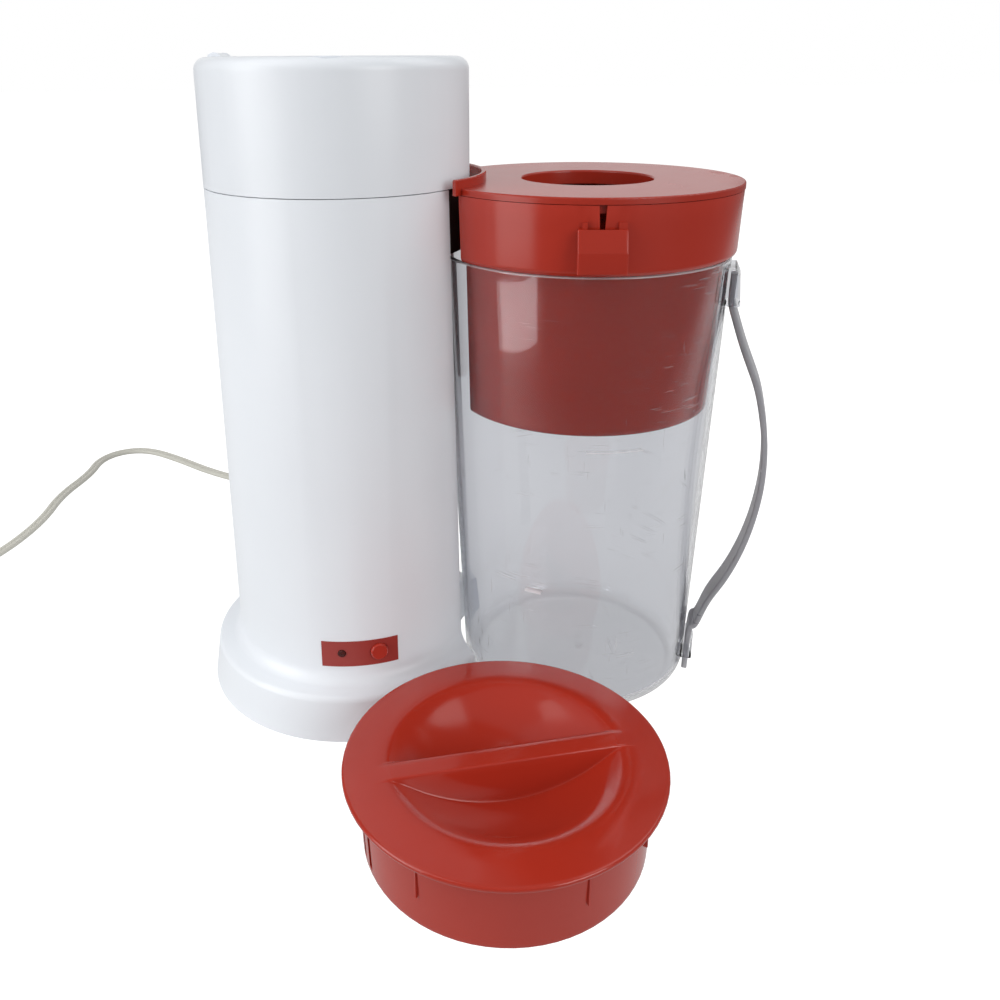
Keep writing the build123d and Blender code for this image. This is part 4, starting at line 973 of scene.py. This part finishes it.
def relief_mesh(origin, heading, length, ribs):
    """Tapered relief with flexing grooves, and the neck and flange that hold it in the shell."""
    sections = [(at, rounded_outline(wide, wide, wide / 2)) for at, wide in RELIEF_HOLD]

    def taper(share, shrink):
        width, height = (
            base + (tip - base) * share - 2 * shrink for base, tip in zip(RELIEF_BASE, RELIEF_TIP)
        )
        return rounded_outline(width, height, height / 2)

    sections.append((0.0, taper(0.0, 0.0)))
    for rib in range(ribs):
        start = RIBS_START + RIBS_SPAN * rib / ribs
        run = RIBS_SPAN / ribs
        for share, shrink in RIB_STEPS:
            at = start + share * run
            sections.append((at * length, taper(at, shrink)))
    sections += [(share * length, taper(share, shrink)) for share, shrink in RELIEF_END]
    bm = bmesh.new()
    loft(bm, along(origin, heading, sections))
    return bm


NECK_MARGIN = 0.003
PLUG_CORNER = 0.003
GRIP_GROOVES = 4
GRIP_START = 0.0120
GRIP_PITCH = 0.0028
# distance and depth of the rings of one finger groove, in metres
GRIP_STEPS = ((0.0, 0.0), (0.0004, 0.0005), (0.0012, 0.0005), (0.0016, 0.0))


def plug_mesh(origin, heading, settings):
    """Plug body with a tapered neck, soft edges and finger grooves."""
    width, height, length = settings.plug_width, settings.plug_height, settings.plug_length
    neck = (settings.width + NECK_MARGIN, settings.thickness + NECK_MARGIN)
    sections = [(0.0, rounded_outline(*neck, 0.002))]
    for share in (0.25, 0.5, 0.75):
        ease = share * share * (3 - 2 * share)
        wide = neck[0] + (width - 0.0008 - neck[0]) * ease
        high = neck[1] + (height - 0.0008 - neck[1]) * ease
        sections.append((0.008 * share, rounded_outline(wide, high, 0.002 + 0.001 * ease)))

    def body(at, shrink, corner=PLUG_CORNER):
        sections.append((at, rounded_outline(width - 2 * shrink, height - 2 * shrink, corner)))

    body(0.0080, 0.0003)
    body(0.0095, 0.0)
    for groove in range(GRIP_GROOVES):
        start = GRIP_START + GRIP_PITCH * groove
        for at, shrink in GRIP_STEPS:
            body(start + at, shrink)
    for at, shrink in ((length - 0.0010, 0.0), (length - 0.0003, 0.0003), (length, 0.0010)):
        body(at, shrink, PLUG_CORNER - shrink)
    bm = bmesh.new()
    loft(bm, along(origin, heading, sections))
    return bm


class TEAMAKER_OT_lead(Operator):
    """Build the flat mains lead, its strain relief and its plug"""

    bl_idname = "teamaker.lead"
    bl_label = "Lead and plug"

    def execute(self, context):
        settings = context.scene.tea_lead
        colour = tuple(settings.colour)
        lead_finish = moulded("cord_cream", colour, 0.46, peel=1900.0)
        relief_finish = moulded("relief_cream", darker(colour, 0.96), 0.5, peel=900.0)
        plug_finish = moulded("plug_cream", darker(colour, 0.98), 0.42, peel=700.0)
        dress(metal("blade_brass", (0.72, 0.60, 0.36), 0.28, (1.0, 1.0, 8.0)), "plug_blades")
        points = lead_line()
        if len(points) < len(LEAD_ROUTE):
            raise RuntimeError("the lead's spline gave too few points")
        start_heading = Vector(LEAD_ROUTE[1]) - Vector(LEAD_ROUTE[0])
        end_heading = Vector(LEAD_ROUTE[-1]) - Vector(LEAD_ROUTE[-2])
        relief_start = points[0] - start_heading.normalized() * settings.relief_length
        relief = as_piece(
            relief_mesh(relief_start, start_heading, settings.relief_length, settings.relief_ribs),
            "ribbed_relief", relief_finish, "tower", "strain_relief",
        )
        plug = as_piece(
            plug_mesh(points[-1], end_heading, settings),
            "moulded_plug", plug_finish, "tower", "plug_body",
        )
        lead = as_piece(
            lead_mesh(points, settings.width, settings.thickness),
            "flat_lead", lead_finish, "tower", "power_cord",
        )
        return {"FINISHED"}


STAGE_MIDDLE = (0.04, -0.02, 0.14)
PANE_HEIGHT = 0.108
# name, place, size, the setting that holds the power, and the point each lamp faces
SOFTBOXES = (
    ("key", (-1.45, -0.38, 0.85), (0.9, 1.3), "key", STAGE_MIDDLE),
    ("fill", (0.95, -1.25, 0.7), (0.8, 1.0), "fill", STAGE_MIDDLE),
    ("back", (0.1, 2.6, 0.85), (2.4, 1.3), "back", STAGE_MIDDLE),
    ("window", (-0.600, -0.355, 0.26), (0.44, 0.50), "window", (0.08, -0.07, 0.20)),
    ("pane", (-0.202, -0.170, PANE_HEIGHT), (0.222, 0.058), "pane", (0.074, -0.053, PANE_HEIGHT)),
    ("left_pane", (-0.54, -0.155, 1.06), (0.75, 0.55), "panes", (0.09, -0.10, 0.04)),
    ("right_pane", (0.76, 0.08, 0.98), (0.62, 0.72), "panes", (0.045, -0.11, 0.035)),
)
TOP_SPREAD = math.radians(70.0)
TOP_TILT = (math.radians(-12.0), math.radians(14.0), 0.0)
FLOOR_REACH = 12.0


def softbox(name, at, size, power, target):
    """Rectangular lamp that faces a point and isn't seen itself."""
    lamp = bpy.data.lights.new(name, "AREA")
    lamp.shape = "RECTANGLE"
    lamp.size, lamp.size_y = size
    lamp.energy = power
    holder = bpy.data.objects.new(name, lamp)
    holder.location = at
    holder.rotation_mode = "QUATERNION"
    holder.rotation_quaternion = (Vector(target) - Vector(at)).to_track_quat("-Z", "Y")
    holder.visible_camera = False
    bpy.context.scene.collection.objects.link(holder)
    return holder


def surroundings(diffuse, glossy):
    """Even white studio: bright behind everything, softer as a light."""
    world = bpy.data.worlds.new("studio")
    world.use_nodes = True
    tree = world.node_tree
    background = tree.nodes["Background"]
    background.inputs["Color"].default_value = (1.0, 1.0, 1.0, 1.0)
    path = tree.nodes.new("ShaderNodeLightPath")
    product = tree.nodes.new("ShaderNodeMath")
    product.operation = "MULTIPLY"
    for inlet, (ray, level) in enumerate((("Is Diffuse Ray", diffuse), ("Is Glossy Ray", glossy))):
        share = tree.nodes.new("ShaderNodeMapRange")
        share.inputs["To Min"].default_value = 1.0
        share.inputs["To Max"].default_value = level
        tree.links.new(path.outputs[ray], share.inputs["Value"])
        tree.links.new(share.outputs["Result"], product.inputs[inlet])
    tree.links.new(product.outputs[0], background.inputs["Strength"])
    bpy.context.scene.world = world


# the image's side, focal length and the point that the lens faces, in pixels
IMAGE_SIDE = 1000.0
FOCAL_LENGTH = 960.63
FACED_POINT = (467.18, 368.33)
SENSOR_WIDTH = 36.0
# turn, tilt and roll in degrees, and place in metres
CAMERA_ANGLES = (6.385, 17.706, 0.319)
CAMERA_PLACE = (0.009171, -0.482820, 0.323788)


def place_camera():
    """Camera a little right of the tower's middle and above the pitcher, turned slightly down."""
    data = bpy.data.cameras.new("camera")
    data.sensor_width = SENSOR_WIDTH
    data.lens = FOCAL_LENGTH / IMAGE_SIDE * SENSOR_WIDTH
    data.shift_x = (IMAGE_SIDE / 2 - FACED_POINT[0]) / IMAGE_SIDE
    data.shift_y = (FACED_POINT[1] - IMAGE_SIDE / 2) / IMAGE_SIDE
    yaw, pitch, roll = map(math.radians, CAMERA_ANGLES)
    ahead = Vector((math.sin(yaw) * math.cos(pitch), math.cos(yaw) * math.cos(pitch), -math.sin(pitch)))
    level = Vector((math.cos(yaw), -math.sin(yaw), 0.0))
    down = ahead.cross(level)
    across = math.cos(roll) * level + math.sin(roll) * down
    upwards = math.sin(roll) * level - math.cos(roll) * down
    place = Matrix((across, upwards, -ahead)).transposed().to_4x4()
    place.translation = Vector(CAMERA_PLACE)
    camera = bpy.data.objects.new("camera", data)
    camera.matrix_world = place
    bpy.context.scene.collection.objects.link(camera)
    bpy.context.scene.camera = camera


class TEAMAKER_OT_stage(Operator):
    """Lay the floor and set the lights, the surroundings and the camera"""

    bl_idname = "teamaker.stage"
    bl_label = "Stage"

    def execute(self, context):
        settings = context.scene.tea_stage
        bm = bmesh.new()
        bmesh.ops.create_grid(bm, x_segments=8, y_segments=8, size=FLOOR_REACH)
        mesh = bpy.data.meshes.new("floor")
        bm.to_mesh(mesh)
        bm.free()
        mesh.materials.append(paper_floor(tuple(settings.floor), settings.glow, settings.under))
        floor = bpy.data.objects.new("floor", mesh)
        context.scene.collection.objects.link(floor)
        lamps = {
            name: softbox(name, at, size, getattr(settings, power), target)
            for name, at, size, power, target in SOFTBOXES
        }
        mirror = bpy.data.collections.new("shows_pane")
        mirror.objects.link(nodes["pitcher"])
        lamps["pane"].light_linking.receiver_collection = mirror
        top = bpy.data.lights.new("top", "SUN")
        top.energy = settings.top
        top.angle = TOP_SPREAD
        holder = bpy.data.objects.new("top", top)
        holder.rotation_euler = TOP_TILT
        context.scene.collection.objects.link(holder)
        surroundings(settings.surround, settings.mirrored)
        place_camera()
        context.scene.view_settings.view_transform = "Standard"
        return {"FINISHED"}


OPERATORS = [
    TEAMAKER_OT_tower,
    TEAMAKER_OT_controls,
    TEAMAKER_OT_water_works,
    TEAMAKER_OT_pitcher,
    TEAMAKER_OT_brewing,
    TEAMAKER_OT_serving_lid,
    TEAMAKER_OT_lead,
    TEAMAKER_OT_stage,
]

SETTINGS = {
    "tea_shell": ShellSettings,
    "tea_pitcher": PitcherSettings,
    "tea_brew": BrewSettings,
    "tea_lid": LidSettings,
    "tea_lead": LeadSettings,
    "tea_stage": StageSettings,
}


class TEAMAKER_PT_panel(Panel):
    """Pieces and settings of the tea maker"""

    bl_idname = "TEAMAKER_PT_panel"
    bl_label = "Tea Maker"
    bl_space_type = "VIEW_3D"
    bl_region_type = "UI"
    bl_category = "Tea Maker"

    def draw(self, context):
        for name, group in SETTINGS.items():
            box = self.layout.box()
            for field in group.__annotations__:
                box.prop(getattr(context.scene, name), field)
        for operator in OPERATORS:
            self.layout.operator(operator.bl_idname)


def register():
    for group in SETTINGS.values():
        bpy.utils.register_class(group)
    for operator in OPERATORS:
        bpy.utils.register_class(operator)
    bpy.utils.register_class(TEAMAKER_PT_panel)
    for name, group in SETTINGS.items():
        setattr(bpy.types.Scene, name, PointerProperty(type=group))


def unregister():
    for name in SETTINGS:
        delattr(bpy.types.Scene, name)
    bpy.utils.unregister_class(TEAMAKER_PT_panel)
    for operator in reversed(OPERATORS):
        bpy.utils.unregister_class(operator)
    for group in reversed(list(SETTINGS.values())):
        bpy.utils.unregister_class(group)


def main():
    register()
    for operator in OPERATORS:
        group, name = operator.bl_idname.split(".")
        getattr(getattr(bpy.ops, group), name)()


if __name__ == "__main__":
    main()
